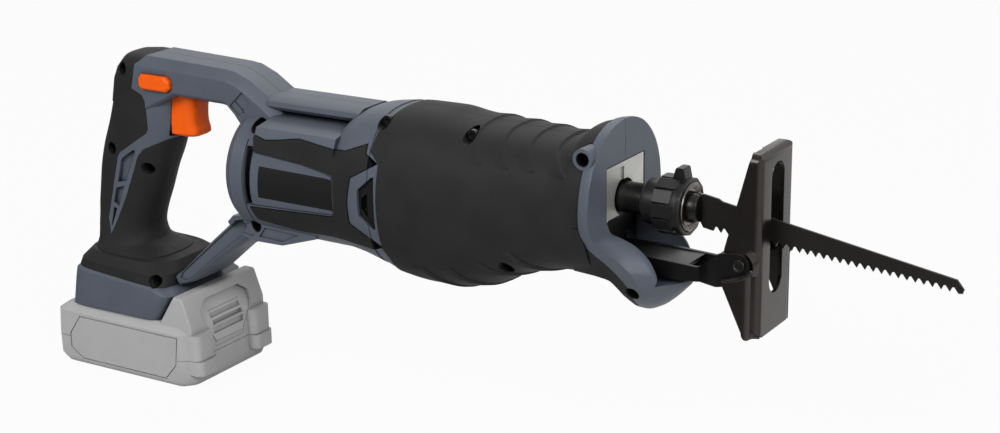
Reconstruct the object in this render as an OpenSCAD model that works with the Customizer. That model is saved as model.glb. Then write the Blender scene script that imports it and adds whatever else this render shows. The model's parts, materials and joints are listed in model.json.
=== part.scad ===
// Cordless reciprocating saw: two moulded housing halves round a motor, a crank gear
// and a plunger, with a keyless blade clamp, a pivoting shoe and a slide-on battery.
// X points along the stroke towards the blade tip, Z is up, Y = 0 is the joint plane
// of the housing. The origin is on the plunger's axis, at the nose face.

/* [Housing] */
// Thickness of the moulded housing wall
wall = 3; // [2.4:0.1:3.6]
// Thickness of the soft rubber over the front grip
sleeve_t = 3; // [2:0.1:3.6]
// Thickness of the soft rubber on the handle
grip_t = 2.5; // [1.6:0.1:3]
// Radius of the motor barrel
barrel_r = 36.5; // [35.5:0.1:38]
// Half the width of the rear handle
handle_hw = 17.5; // [16.5:0.1:19]
// Half the width of the foot over the battery
foot_hw = 34.5; // [33:0.1:35.5]
// Half the width of the nose
nose_hw = 39.5; // [38.5:0.1:41]
// Bore of the sunk screw holes
screw_hole_d = 7.5; // [7:0.1:8]

/* [Drive] */
// Length of the cutting stroke
stroke = 20; // [14:0.5:22]
// Diameter of the plunger
plunger_d = 16.2; // [15.5:0.1:16.6]
// Hole in the nose plate round the plunger
plate_hole_d = 19.5; // [18.6:0.1:20]
// Diameter of the motor can
motor_d = 46; // [40:0.5:50]
// Length of the motor can
motor_len = 66; // [60:0.5:70]
// Distance of the motor's axis below the plunger's axis
motor_drop = 15; // [15:0.1:15.8]
// Teeth of the crown gear
crown_teeth = 48; // [40:4:48]
// Teeth of the motor pinion
pinion_teeth = 8; // [8:1:9]

/* [Blade clamp] */
// Diameter of the twist collar over its ribs
collar_d = 30; // [28:0.1:31]
// Ribs round the twist collar
collar_ribs = 12; // [8:1:16]
// Distance of the clamp behind the nose face to its rear end
clamp_x = 13.5; // [12.5:0.1:15]
// Length of the clamp from its rear end to the collar's front
clamp_len = 24; // [22:0.1:26]

/* [Blade] */
// Length of the blade in front of the clamp
blade_len = 135; // [110:1:160]
// Thickness of the blade
blade_t = 1.3; // [0.9:0.05:1.4]
// Distance from tooth to tooth
tooth_pitch = 4.23; // [3:0.01:6]
// Depth of a tooth gullet
tooth_depth = 2.6; // [1.8:0.1:3]

/* [Shoe] */
// Width of the shoe's face
shoe_w = 39; // [38:0.5:42]
// Height of the shoe's face above its pivot
shoe_up = 56; // [48:0.5:58]
// Height of the shoe's face below its pivot
shoe_down = 37.5; // [34:0.5:42]
// Thickness of the shoe's sheet
shoe_t = 2; // [1.6:0.1:2.2]
// Width of the slot for the blade
slot_w = 15; // [12:0.5:17]
// Diameter of the shoe's pivot pin
pin_d = 5; // [4:0.1:5.5]

/* [Controls] */
// Travel of the trigger
trigger_travel = 6; // [4:0.5:7]
// Half the width of the trigger
trigger_hw = 9; // [8:0.1:9.5]
// Travel of the lock-off bar to either side
lock_travel = 2.5; // [1.5:0.1:3]

/* [Battery] */
// Half the width of the battery
batt_hw = 38; // [37:0.1:39]
// Height of the battery's lower box
batt_h = 37.2; // [34:0.1:38]
// Travel of the battery's release button
latch_travel = 3; // [2:0.5:3.5]

/* [Hidden] */

sides = 24;        // points round a lofted section
gap = 0.3;         // space between pieces that only lie beside each other
run = 0.05;        // radial clearance of a running fit
eps = 0.01;
housing_col = [0.37, 0.4, 0.45];
rubber_col = [0.16, 0.16, 0.16];
orange_col = [0.93, 0.36, 0.08];
battery_col = [0.62, 0.62, 0.62];
steel_col = [0.7, 0.7, 0.7];
black_col = [0.1, 0.1, 0.1];

// ---- sections and lofts -------------------------------------------------------------

// Points of a rounded section: t runs round it, e = 2 is an ellipse, higher is squarer
function pw(v, e) = sign(v) * pow(abs(v), 2 / e);

// Upright section at x: half width hw, from bottom bot to top top, widest at zc
function upright(x, zc, hw, top, bot, e, n = sides) = [for (i = [0:n - 1])
    let (t = 360 * (i + 0.5) / n, s = pw(sin(t), e))
    [x, hw * pw(cos(t), e), zc + (s > 0 ? (top - zc) : (zc - bot)) * s]];

// Level section from rear to front, at z there and lower by fall at its front
function level(z, rear, front, hw, e, fall = 0, n = sides) = [for (i = [0:n - 1])
    let (t = 360 * (i + 0.5) / n, c = pw(cos(t), e))
    [(front + rear) / 2 + (front - rear) / 2 * c, hw * pw(sin(t), e), z - fall * (1 + c) / 2]];

// Slanted section between a low point and a high point of the side view
function slant(lo, hi, hw, e, n = sides) = [for (i = [0:n - 1])
    let (t = 360 * (i + 0.5) / n, s = (1 + pw(sin(t), e)) / 2)
    [lo[0] + (hi[0] - lo[0]) * s, hw * pw(cos(t), e), lo[1] + (hi[1] - lo[1]) * s]];

// Smooth body through a row of sections
module loft(rows) {
    n = len(rows[0]);
    for (i = [0:len(rows) - 2])
        hull() polyhedron(points = concat(rows[i], rows[i + 1]),
            faces = [[for (k = [0:n - 1]) k], [for (k = [2 * n - 1:-1:n]) k]]);
}

// Plate of a side-view outline between two distances from the joint plane
module side_plate(outline, y0, y1) {
    translate([0, y1, 0]) rotate([90, 0, 0]) linear_extrude(y1 - y0) polygon(outline);
}

// Bar along X of a front-view outline
module front_bar(outline, x0, x1) {
    translate([x0, 0, 0]) rotate([90, 0, 90]) linear_extrude(x1 - x0) polygon(outline);
}

// Cylinder along X, along Y, and a tube along X
module rod_x(r, x0, x1, z = 0, y = 0) {
    translate([x0, y, z]) rotate([0, 90, 0]) cylinder(r = r, h = x1 - x0, $fn = 64);
}

module rod_y(r, x, z, y0, y1, n = 48) {
    translate([x, y1, z]) rotate([90, 0, 0]) cylinder(r = r, h = y1 - y0, $fn = n);
}

module tube_x(r_out, r_in, x0, x1, z = 0) {
    difference() {
        rod_x(r_out, x0, x1, z);
        rod_x(r_in, x0 - 1, x1 + 1, z);
    }
}

// Keeps the right half (side = -1) or the left half (side = 1)
module half(side) {
    intersection() {
        children();
        translate([-200, side * 60, 0]) cube([600, 120, 400], center = true);
    }
}

// ---- main lengths along X -----------------------------------------------------------

barrel_rear = -230;        // rear rim of the motor barrel
barrel_front = -163;       // where the barrel meets the front collar
sleeve_rear = -134;        // rear edge of the front grip
nose_rear = -6;            // rear edge of the nose flange
barrel_z = -motor_drop;

// ---- front grip and gearbox ---------------------------------------------------------

// Rows of the front grip: x, widest height, half width, top, bottom, squareness
grip_rows = [
    [sleeve_rear, -13, barrel_r + 3.5, 33.2, -55.5, 2.5],
    [-124, -14, barrel_r + 3.9, 34, -59.3, 2.5],
    [-105, -14, barrel_r + 4, 34.2, -61.3, 2.5], [-90, -13, barrel_r + 3.5, 32.2, -60.7, 2.5],
    [-71, -10, 39, 31, -56.6, 2.5], [-53, -7, 37.6, 30.2, -47.9, 2.5],
    [-44, -5, 37, 29.6, -45, 2.5], [-28, -4, 36.6, 29, -41.3, 2.4],
    [-20, -4, 36.8, 32.4, -40.6, 2.4], [-14, -3, 37.2, 36.9, -40.8, 2.3],
    [nose_rear, -3, 37.6, 39.4, -42, 2.2]];

module grip_loft(inset, x_end = nose_rear, n = sides) {
    loft([for (r = grip_rows)
        upright(r[0] == nose_rear ? x_end : r[0], r[1], r[2] - inset, r[3] - inset,
            r[4] + inset, r[5], n)]);
}

// ---- nose and chin ------------------------------------------------------------------

// Side views of the nose, point by point from its top down the face, over the lip of
// the chin and back under it: at the middle, at the mouth's edge, and further out
nose_mid = [[0, 46], [0, -9], [2.5, -13.8], [9, -15.6], [16, -18.2], [21.8, -22], [25.8, -27],
    [31, -33.5], [38.7, -38.6], [38.2, -40.6], [35, -44.2], [29.3, -49.8], [22.9, -54.6],
    [16.5, -57], [10.5, -56.8], [6.8, -53.5], [5.4, -48], [3, -43.6], [-5, -42.6], [-18, -41.4],
    [-18, 46]];
nose_edge = [[0, 46], [0, -9], [2.5, -14], [9, -15.8], [16, -18.4], [21.8, -22.4], [25.8, -27],
    [28.4, -32.3], [28.8, -34.2], [28.2, -36.5], [26.6, -40], [24.3, -43.8], [21.5, -47.2],
    [18, -49.2], [14, -48.6], [10.5, -46.6], [7.8, -42.8], [4.6, -39.2], [-5, -38.2], [-18, -37.4],
    [-18, 46]];
nose_out = [[0, 46], [0, -9], [1.2, -13.5], [5.6, -16.8], [10, -19.6], [13.8, -23.2], [16.6, -27],
    [18.2, -30], [18.4, -32], [18, -34], [17.2, -36], [16, -38], [14.5, -39.4], [13, -40], [11, -40],
    [9, -39.4], [7, -38], [4, -35.5], [-5, -34], [-18, -33], [-18, 46]];
nose_rim = [[0, 46], [0, -9], [0.2, -11.4], [2, -14.6], [4.6, -17], [6.6, -20], [8, -23.6],
    [9, -27], [9.4, -30], [9.2, -32], [8.8, -34], [8, -36], [7, -37.4], [6, -38], [5, -38], [4, -37.4],
    [3, -36], [1, -33.5], [-5, -32], [-18, -31], [-18, 46]];

// Body skinned through side views, each at its own distance from the middle
module skin(rows, ys) {
    n = len(rows[0]);
    m = len(rows);
    polyhedron(points = [for (j = [0:m - 1]) each [for (p = rows[j]) [p[0], ys[j], p[1]]]],
        faces = concat([[for (k = [0:n - 1]) k]],
            [[for (k = [n - 1:-1:0]) (m - 1) * n + k]],
            [for (j = [0:m - 2]) each [for (k = [0:n - 1]) each let (q = (k + 1) % n)
                [[j * n + k, (j + 1) * n + k, j * n + q],
                    [j * n + q, (j + 1) * n + k, (j + 1) * n + q]]]]));
}

// Front view of the nose, right half: from the top down to the chin
nose_front = [[0, 41], [8, 40.2], [16, 37.7], [22.5, 34], [28.5, 28.7], [33, 23],
    [36.5, 16], [38.6, 8.5], [39.5, 0], [38.8, -7], [37, -13.5], [34.6, -18.5], [32, -24],
    [29.6, -29.5], [27, -35], [23.8, -40], [20, -45.5], [15, -50.5], [8, -55.3], [0, -57.4]];

module nose_outline(inset) {
    k = (nose_hw - inset) / 39.5;
    pts = [for (p = nose_front) [p[0] * k, p[1] - sign(p[1] + 8) * inset]];
    polygon(concat(pts, [for (i = [len(pts) - 1:-1:0]) [-pts[i][0], pts[i][1]]]));
}

module nose_profile() {
    skin([nose_rim, nose_out, nose_edge, nose_mid, nose_edge, nose_out, nose_rim],
        [-nose_hw - 1, -30, -mouth_hw, 0, mouth_hw, 30, nose_hw + 1]);
}

// The whole nose, and the band of it that stays bare in front of the rubber
module nose_solid() {
    intersection() {
        nose_profile();
        hull() {
            translate([-0.8, 0, 0]) rotate([90, 0, 90]) linear_extrude(60)
                nose_outline(0.8);
            translate([-1.8, 0, 0]) rotate([90, 0, 90]) linear_extrude(50)
                nose_outline(0);
            translate([-18, 0, 0]) rotate([90, 0, 90]) linear_extrude(2)
                nose_outline(3);
        }
    }
    boss_y(nose_boss, 33, 5.6);
}

// Zone behind the bare band, in side view, where the rubber runs on
rubber_zone = [[nose_rear, 50], [nose_rear, -8], [-5.6, -13], [-3.6, -18.4], [1.2, -23],
    [6, -27], [10.2, -31.6], [13.2, -36.4], [14.6, -40], [14.6, -70], [-140, -70], [-140, 50]];

module behind_band(dx = 0, dz = 0) {
    translate([dx, 0, dz]) side_plate(rubber_zone, -60, 60);
}

// What stays hard under the rubber at the back of the chin
module chin_core(grow = 0) {
    intersection() {
        translate([sleeve_t, 0, 1.4]) nose_profile();
        translate([-14, 0, 0]) rotate([90, 0, 90]) linear_extrude(60) nose_outline(sleeve_t);
        behind_band(grow, grow);
        translate([-60, -60, -90]) cube([120, 120, 84]);
    }
}

// ---- screw places: x, z -------------------------------------------------------------

nose_boss = [-6.5, 26.5];
chin_boss = [16, -43.2];
screw_points = [nose_boss, chin_boss, [-132, 28], [-219.6, barrel_z + barrel_r - 7],
    [-223, barrel_z - barrel_r + 7.5], [-55, -39.3], [-78.5, 27], [-323, 34.5],
    [-336, -15.5], [-311, -25], [-296.3, -88]];
screw_y = [24, 13, 27, 13, 14, 22, 27, 10, 8, 8.5, 22];

module boss_y(at, y, r) {
    rod_y(r, at[0], at[1], -y, y, 24);
}

// ---- barrel, top bar, arm and brace -------------------------------------------------

module barrel_loft(inset, n = sides) {
    r = barrel_r - inset;
    z = barrel_z;
    x0 = barrel_rear;
    loft([
        upright(x0 - 8 + inset, z, r - 10, z + r - 10, z - r + 10, 2, n),
        upright(x0 - 5 + inset, z, r - 3, z + r - 3, z - r + 3, 2, n),
        upright(x0 + inset, z, r, z + r, z - r, 2, n),
        upright(barrel_front, z, r, z + r, z - r - 0.5, 2.05, n),
        upright(sleeve_rear - 8, z, r + 1.2, z + r + 4, z - r - 1.5, 2.2, n)]);
}

// Shoulder along each side of the barrel's top, and the collar in front of it
module shoulder(inset) {
    s = inset;
    r = barrel_r - s;
    low = barrel_z - r;
    front_bar([[-r + 0.5, -16], [-r + 3, 12], [-r + 5, 16.8 - s], [-13, 20 - s],
        [13, 20 - s], [r - 5, 16.8 - s], [r - 3, 12], [r - 0.5, -16]],
        barrel_rear + 6 + s, barrel_front + 4);
    loft([
        upright(barrel_front - 2, -13, r - 1, 20 - s, low + 1.5, 2.5),
        upright(barrel_front + 6, -13, r + 0.5, 27.5 - s, low + 0.9, 2.5),
        upright(barrel_front + 14, -13, r + 2, 30.9 - s, low - 0.1, 2.5),
        upright(sleeve_rear, -13, r + 3.5, 33.2 - s, -55.5 + s, 2.5)]);
}

module top_bar() {
    front_bar([[-13.5, 22.4], [-15.4, 24.6], [-14.8, 27.3], [-10, 29.4], [10, 29.4], [14.8, 27.3],
        [15.4, 24.6], [13.5, 22.4]], -218, barrel_front + 8);
    front_bar([[-7, 19], [-7, 23], [7, 23], [7, 19]], -218, barrel_front + 8);
}

arm_hw = handle_hw;

module arm() {
    loft([
        upright(-329, 22, arm_hw, 42, 0, 3.2, arm_sides),
        upright(-315, 33, arm_hw, 43.4, 6, 3.4, arm_sides),
        upright(-284, 33.5, arm_hw, 42.5, 22.2, 3.8, arm_sides),
        upright(-251, 33, arm_hw, 41.4, 21.6, 3.8, arm_sides),
        slant([-241, 15.5], [-232.5, 37.2], arm_hw, 3.8, arm_sides),
        slant([-238, 8], [-212.5, 27.5], arm_hw + 0.5, 3.8, arm_sides),
        slant([-238, -4], [-205, 14], arm_hw + 2, 3.8, arm_sides)]);
}

arm_sides = 24;

module brace() {
    loft([
        slant([-286, -93], [-290, -85.5], 20, 5, 20),
        slant([-277, -88.8], [-286, -83], 20, 5, 20),
        slant([-256, -71], [-263.5, -61.5], 19, 5, 20),
        slant([-230, -53.5], [-240, -40.5], 18.5, 5, 20),
        slant([-209, -56.5], [-228, -20], 18.5, 5, 20)]);
    loft([
        slant([-230, -53.5], [-232, -30], 18.5, 5, 20),
        slant([-212, -56.8], [-212, -30], 18.5, 5, 20),
        slant([-197, -51.5], [-197, -30], 18.5, 5, 20)]);
}

// ---- handle -------------------------------------------------------------------------

// Level sections of the handle: z, rear, front, half width, squareness
handle_rows = [[32, -335.6, -290, 16.5, 2.6], [16, -339, -291, 17.5, 2.6],
    [0, -344.3, -293, 17.5, 2.5], [-14, -349.8, -297.5, 17.2, 2.5],
    [-28, -354.3, -301.5, 17, 2.3], [-42, -356.4, -306, 17, 2.3],
    [-56, -358, -311.5, 17, 2.3], [-66, -358, -315.5, 18, 2.4],
    [-73, -357.4, -316, 19.8, 2.5], [-79, -357.8, -303, 25, 2.8]];

module handle_loft(inset) {
    loft([for (r = handle_rows)
        level(r[0], r[1] + inset, r[2] - inset, r[3] - 17.5 + handle_hw - inset, r[4])]);
}

foot_rear = -363.5;
foot_front = -282;
foot_z = -111.3;             // underside of the foot
skirt_z = -87;               // where the rubber skirt meets the foot at its rear
skirt_fall = 5;              // how much lower it meets it at its front

module skirt_loft(inset) {
    k = inset;
    loft([
        level(-78, -357.6 + k, -294 - k, foot_hw - 7.5 - k, 3.1, 1.5),
        level(-82.5, -358.9 + k, -290 - k, foot_hw - 3.4 - k, 3.7, 2.5),
        level(skirt_z - 3, -360.1 + k, -288.8 - k, foot_hw - 1.2 - k, 4.6, skirt_fall)]);
}

module foot() {
    hw = foot_hw;
    loft([
        level(foot_z, foot_rear, foot_front - 10.5, hw, 9),
        level(foot_z + 16, foot_rear + 2.6, foot_front + 0.5, hw, 9),
        level(skirt_z - 1.5, foot_rear + 3.4, foot_front - 3.5, hw - 0.3, 8, skirt_fall),
        level(skirt_z, foot_rear + 5, foot_front - 6, hw - 1.8, 8, skirt_fall)]);
}

// Bare hard plastic on the handle's side: the trigger surround and the spine below it
spine_outline = [[-294, 48], [-307, 43.4], [-312.2, 38.6], [-315.8, 23.7], [-308.3, 20.4],
    [-306.3, 17], [-306.3, -0.4], [-308, -3], [-329, -16.9], [-331, -19.5], [-342, -59],
    [-339.6, -68.8], [-327, -44], [-315.8, -18], [-311.4, -13.1], [-297, -6.4],
    [-280, -3.2], [-250, 0], [-200, 20], [-200, 48]];

module spine_zone() {
    side_plate(spine_outline, -60, 60);
}

module handle_skin(inset) {
    handle_loft(inset);
    skirt_loft(inset);
    arm_head(inset);
}

// Rear end of the arm, which the rubber wraps
module arm_head(inset) {
    k = inset;
    loft([
        level(13, -339.6 + k, -300, arm_hw - 0.5 - k, 2.8),
        level(27, -336.6 + k, -300, arm_hw - 0.5 - k, 2.8),
        level(34, -333.5 + k, -300, arm_hw - 1.2 - k, 2.8),
        level(38.6 - k / 2, -329.8 + k, -300, arm_hw - 2.8 - k, 2.8),
        level(41.8 - k, -322.5 + k, -300, arm_hw - 6.5 - k, 2.8)]);
    loft([
        upright(-324, 28, arm_hw - 0.2 - k, 42.7 - k, 6 + k, 3.2, arm_sides),
        upright(-315, 33, arm_hw - k, 43.4 - k, 6 + k, 3.4, arm_sides),
        upright(-290, 33.5, arm_hw - k, 42.7 - k, 18 + k, 3.8, arm_sides)]);
}

// ---- housing ------------------------------------------------------------------------

module housing_outer() {
    grip_loft(sleeve_t, nose_rear + 2);
    intersection() {
        grip_loft(0.5);
        side_plate(sleeve_edge, -60, 60);
    }
    difference() {
        nose_solid();
        behind_band();
    }
    chin_core(1.5);
    boss_y(nose_boss, 32.9, 5.6);
    barrel_loft(0);
    shoulder(0);
    top_bar();
    intersection() {
        arm();
        translate([-294, -40, -40]) cube([120, 80, 120]);
    }
    handle_loft(grip_t);
    skirt_loft(grip_t);
    arm_head(grip_t);
    intersection() {
        union() {
            handle_loft(0);
            arm();
        }
        spine_zone();
    }
    foot();
    brace();
}

// Room inside the barrel and the gearbox
module main_cavity() {
    difference() {
        union() {
            barrel_loft(wall, 16);
            grip_loft(sleeve_t + wall, -4, 16);
            rod_x(motor_d / 2 + 4, motor_x1 - 2, sleeve_rear + 8, barrel_z);
        }
        // ribs that hold the motor can and the gear case
        for (x = [motor_x0 + 6, motor_x1 - 8])
            difference() {
                translate([x, 0, barrel_z]) cube([3, 90, 90], center = true);
                rod_x(motor_d / 2 + gap, x - 3, x + 3, barrel_z);
            }
        for (x = [case_rear + 14, case_rear + 60])
            difference() {
                translate([x, 0, 0]) cube([3, 90, 130], center = true);
                case_block(gap);
            }
        // bosses round the screws that cross the room
        difference() {
            for (i = [3, 4, 5]) boss_y(screw_points[i], 60, screw_boss_r);
            case_block(gap);
        }
    }
}

screw_boss_r = 4.6;

// Room for the trigger, the switch and the terminal block
module handle_cavity() {
    translate([-321.5, -switch_hw - gap, -10]) cube([33.5, 2 * (switch_hw + gap), 32]);
    translate([-296, -trigger_hw - gap, -4.6]) cube([10, 2 * (trigger_hw + gap), 26]);
    difference() {
        loft([
            level(-10, -342, -309, 11, 3, 0, 16),
            level(-44, -351, -314, 11, 3, 0, 16),
            level(-72, -353, -322, 12, 3, 0, 16),
            level(-90, -354, -318, 16, 4, 0, 16)]);
        boss_y(screw_points[8], 12, screw_boss_r);
    }
    translate([rail_x0 + 2 - gap, -14 - gap, rail_top]) cube([30 + 2 * gap, 28 + 2 * gap, 8]);
    // channel that takes the battery's rails, open at the foot's front and underside
    translate([rail_x0 - gap, -rail_hw - gap, foot_z - 1])
        cube([100, 2 * (rail_hw + gap), rail_top - foot_z + 1 + gap]);
}

module housing_half(side) {
    difference() {
        half(side) housing_outer();
        main_cavity();
        handle_cavity();
        nose_opening();
        lock_slot();
        side_cover_pocket();
        vent_pocket(side);
        barrel_vents();
        cap_joint();
        side_grooves();
        for (i = [0:len(screw_points) - 1])
            screw_hole(screw_points[i], screw_y[i], side);
        if (side < 0) label_pocket();
    }
}

// Shallow fields moulded into both sides: the handle's spine and the arm's root
spine_fields = [
    [[-328.5, -20.9], [-318.5, -14], [-316.9, -14.4], [-325.8, -34.1], [-332.3, -35.6]],
    [[-334.3, -39.6], [-327.7, -37.4], [-333, -50.7], [-336.7, -48.7]],
    [[-337.1, -51.9], [-334.7, -52.2], [-339, -63.5], [-339.8, -63.6]]];
arm_field = [[-242.9, 22.2], [-233.8, 30.8], [-228, 25.1], [-236.6, 16.8]];

module side_grooves() {
    for (s = [-1, 1]) {
        for (f = spine_fields) side_plate(f, s < 0 ? -40 : 14.6, s < 0 ? -14.6 : 40);
        side_plate(arm_field, s < 0 ? -40 : arm_hw - 0.3, s < 0 ? -arm_hw + 0.3 : 40);
    }
}

// Screw hole: a sunk bore on the right, a blind pilot on the left
module screw_hole(at, y, side) {
    if (side < 0) {
        rod_y(screw_hole_d / 2, at[0], at[1], -60, -y + 8, 24);
        rod_y(screw_shank_r + 0.15, at[0], at[1], -60, 1, 16);
    } else {
        rod_y(screw_shank_r + 0.1, at[0], at[1], -1, 9, 16);
    }
}

screw_shank_r = 1.9;

// Window in the nose for the plate, and the mouth below it for the shoe's bracket
mouth_hw = 19.6;

module nose_opening() {
    translate([-12, -plate_hw - gap, plate_bot - gap])
        cube([20, 2 * (plate_hw + gap), plate_top - plate_bot + 2 * gap]);
    side_plate([[-5, 1], [3, 1], [60, 1], [60, -36], [33, -38.4], [-5, -38.4], [-58, -38.4],
        [-58, -20], [-12, -20]], -mouth_hw, mouth_hw);
}

// Vents: a curved gap behind each side panel, and the seam of the rear cap
module barrel_vents() {
    intersection() {
        tube_x(barrel_r + 3, barrel_r - 7, barrel_rear + 9, barrel_rear + 14, barrel_z);
        translate([-222, 0, barrel_z + 3.2]) cube([40, 100, 31.6], center = true);
    }
}

module cap_joint() {
    difference() {
        tube_x(barrel_r + 3, barrel_r - 0.7, barrel_rear + 8.2, barrel_rear + 9, barrel_z);
        translate([barrel_rear + 8, 0, 33]) cube([8, 80, 50], center = true);
    }
}

// ---- side covers, label and vent inserts --------------------------------------------

// Curved rubber cover beside the motor, open at the rear round the panel
cover_outline = [[-217, 4], [-212.8, 12.6], [-205.4, 10.6], [-195, 12], [-183, 14],
    [-158, 11.2], [-151.5, 11.7], [-136.5, 17.5], [-136.4, 12.8], [-128.6, 8.6], [-145.6, -1],
    [-148, -14.5], [-147.4, -27], [-127.2, -37.8], [-134.2, -40.4], [-155.7, -39.9],
    [-190, -41], [-216.9, -37.6], [-218.4, -29.4], [-161.2, -26.2], [-158.6, -24.6],
    [-158.2, -4.8], [-159.4, -2.4], [-180.6, 1], [-214, 3.6]];
cover_t = 2;

module cover_region(grow) {
    rotate([90, 0, 0]) linear_extrude(120, center = true)
        offset(delta = grow) polygon(cover_outline);
}

// Space between the barrel's skin and a skin that lies deeper by inset
module side_skin(inset, grow) {
    difference() {
        union() {
            barrel_loft(-grow);
            shoulder(-grow);
        }
        barrel_loft(inset);
        shoulder(inset);
    }
}

module side_cover_pocket() {
    intersection() {
        side_skin(cover_t, 1);
        cover_region(0.25);
        difference() {
            cube([800, 200, 400], center = true);
            cube([800, 32, 400], center = true);
        }
    }
}

module side_cover(side) {
    color(rubber_col) intersection() {
        side_skin(cover_t, 0);
        cover_region(0);
        translate([-180, side * 60, 0]) cube([200, 87, 200], center = true);
    }
}

plate_label = [[-209.6, -4.6], [-210.4, -22.1], [-160, -22.3], [-159.8, -5.2]];
label_t = 0.8;

module label_pocket() {
    intersection() {
        side_skin(label_t, 1);
        rotate([90, 0, 0]) linear_extrude(100) offset(delta = 0.15) polygon(plate_label);
    }
}

module label_plate() {
    color(black_col) intersection() {
        side_skin(label_t, 0);
        rotate([90, 0, 0]) linear_extrude(100) polygon(plate_label);
    }
}

// Recess of the vent: a slanted hexagon in the side, with a slotted insert in it
vent_outline = [[-140.6, -7], [-131.8, 0.8], [-129.8, 1.6], [-129.5, -27], [-131, -27.8],
    [-140.2, -21.4], [-140.8, -15]];
vent_slot = [[-139.6, -12], [-135.6, -8.8], [-135.4, -22.6], [-139.6, -18.2]];

module vent_pocket(side) {
    y0 = side < 0 ? -60 : vent_y;
    y1 = side < 0 ? -vent_y : 60;
    side_plate(vent_outline, y0, y1);
}

vent_y = barrel_r - 5.5;

module vent_insert(side) {
    y0 = side < 0 ? -vent_y - 6.2 : vent_y + 0.1;
    color(black_col) difference() {
        translate([0, y0 + 6.1, 0]) rotate([90, 0, 0]) linear_extrude(6.1)
            offset(delta = -0.15) polygon(vent_outline);
        side_plate(vent_slot, side < 0 ? -60 : vent_y + 2.5, side < 0 ? -vent_y - 2.5 : 60);
    }
}

// ---- rubber pieces ------------------------------------------------------------------

// Raised bands over the grip's top and lips under it
module grip_bands() {
    for (i = [0:3])
        intersection() {
            grip_loft(-0.9);
            translate([band_x + i * band_pitch, 0, 26]) cube([band_w, 120, 37.4], center = true);
        }
}

band_x = -88;
band_pitch = 18;
band_w = 14;

// Rear edge of the grip's rubber in side view; behind it the housing stands out bare
sleeve_edge = [[-125.4, 60], [-125.4, 40.5], [-132.4, 25.5], [-133.6, 14.2], [-127.3, 8.7],
    [-128.1, -12.4], [-127.2, -38.6], [-124.5, -44], [-124.5, -80], [-150, -80], [-150, 60]];

module front_sleeve(side) {
    color(rubber_col) difference() {
        half(side) intersection() {
            union() {
                grip_loft(0, nose_rear + 2);
                grip_bands();
                intersection() {
                    nose_solid();
                    translate([-17.3, -60, -90]) cube([120, 120, 82]);
                }
            }
            behind_band();
        }
        grip_loft(sleeve_t, nose_rear + 2);
        chin_core(1);
        for (i = [0, 1, 2, 5, 6])
            boss_y(screw_points[i], 60, screw_hole_d / 2 + (i == 0 ? 2.2 : 0));
        nose_opening();
        side_plate(sleeve_edge, -60, 60);
    }
}

module handle_grip(side) {
    color(rubber_col) difference() {
        half(side) handle_skin(0);
        handle_skin(grip_t);
        spine_zone();
        foot();
        brace();
        arm_front_block();
        handle_cavity();
        for (i = [7, 8, 9, 10]) boss_y(screw_points[i], 60, screw_hole_d / 2);
    }
}

// The part of the arm that stays hard plastic
module arm_front_block() {
    translate([-254, 0, 34]) cube([80, 90, 60], center = true);
}

// ---- gear case ----------------------------------------------------------------------

case_rear = -108;
plate_hw = 19.6;
plate_top = 19;
plate_bot = -8.9;
crank_x = -66;
crank_r = stroke / 2;
crown_z = -22;              // top face of the crown gear's rim below its teeth
crown_t = 4;
crown_face = 6;             // width of the crown's toothed rim
tooth_m = 1;                // module
crown_r = tooth_m * crown_teeth / 2;
pinion_r = tooth_m * pinion_teeth / 2;
bearing_d = 22;
bearing_h = 7;
case_hw = crown_r + crown_face / 2 + 1.5;
front_hw = 17;

module case_block(grow) {
    g = grow;
    w = case_hw + g;
    x1 = crank_x + case_hw;
    intersection() {
        translate([0, 0, -40]) linear_extrude(80) polygon([[case_rear - g, -w],
            [x1 - 18.5 + g, -w], [x1 - 8.5 + g, -w + 6.5], [x1 - 2.5 + g, -w + 14.5],
            [x1 + g, -w + 20], [x1 + g, w - 20], [x1 - 2.5 + g, w - 14.5],
            [x1 - 8.5 + g, w - 6.5], [x1 - 18.5 + g, w], [case_rear - g, w]]);
        front_bar([[-w, -26.5 - g], [-w + 4, -30.5 - g], [w - 4, -30.5 - g], [w, -26.5 - g],
            [w, 6 + g], [w - 4.5, 13 + g], [-w + 4.5, 13 + g], [-w, 6 + g]],
            case_rear - g - 1, x1 + g + 1);
    }
    translate([-60, -front_hw - g, -20 - g]) cube([60 - 4 - gap + g, 2 * (front_hw + g), 36 + 2 * g]);
    translate([crank_x, 0, bearing_z - 2 - g])
        cylinder(r = bearing_d / 2 + 3 + g, h = 12, $fn = 64);
    // pad that carries the shoe's bracket
    translate([-50 - g, -pad_hw - g, bracket_z + bracket_t - g])
        cube([46 - gap + 2 * g, 2 * (pad_hw + g), 20]);
}

module case_cavity() {
    // gear and yoke room
    translate([crank_x, 0, crown_z - crown_t - 0.5])
        cylinder(r = crown_r + crown_face / 2 + 0.8, h = 13.5, $fn = 96);
    translate([crank_x - yoke_l / 2 - stroke / 2 - 1, -yoke_hw - 0.6, -18])
        cube([yoke_l + stroke + 2, 2 * yoke_hw + 1.2, 27.6]);
    rod_x(6 + 1, case_rear - 1, -40);
    rod_x(plunger_d / 2 + 1, -60, -3);
    rod_x(bush_r, bush_x0, bush_x1);
    rod_x(seal_r, bush_x1 - eps, seal_x1);
    rod_x(rear_bush_r, rear_bush_x0, rear_bush_x1);
    rod_x(plate_hole_d / 2, -6, 2);
    // pinion, motor shaft and its bearing
    rod_x(pinion_r + tooth_m + 0.6, case_rear + 8, crank_x - crown_r + 12, barrel_z);
    rod_x(front_bearing_r, case_rear - 1, case_rear + 5, barrel_z);
    rod_x(3.5, case_rear - 1, case_rear + 9, barrel_z);
    // crank bearing and axle
    translate([crank_x, 0, bearing_z]) cylinder(r = bearing_d / 2, h = bearing_h, $fn = 64);
    translate([crank_x, 0, bearing_z - 1.5]) cylinder(r = bearing_d / 2 - 3, h = 20, $fn = 48);
}

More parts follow.
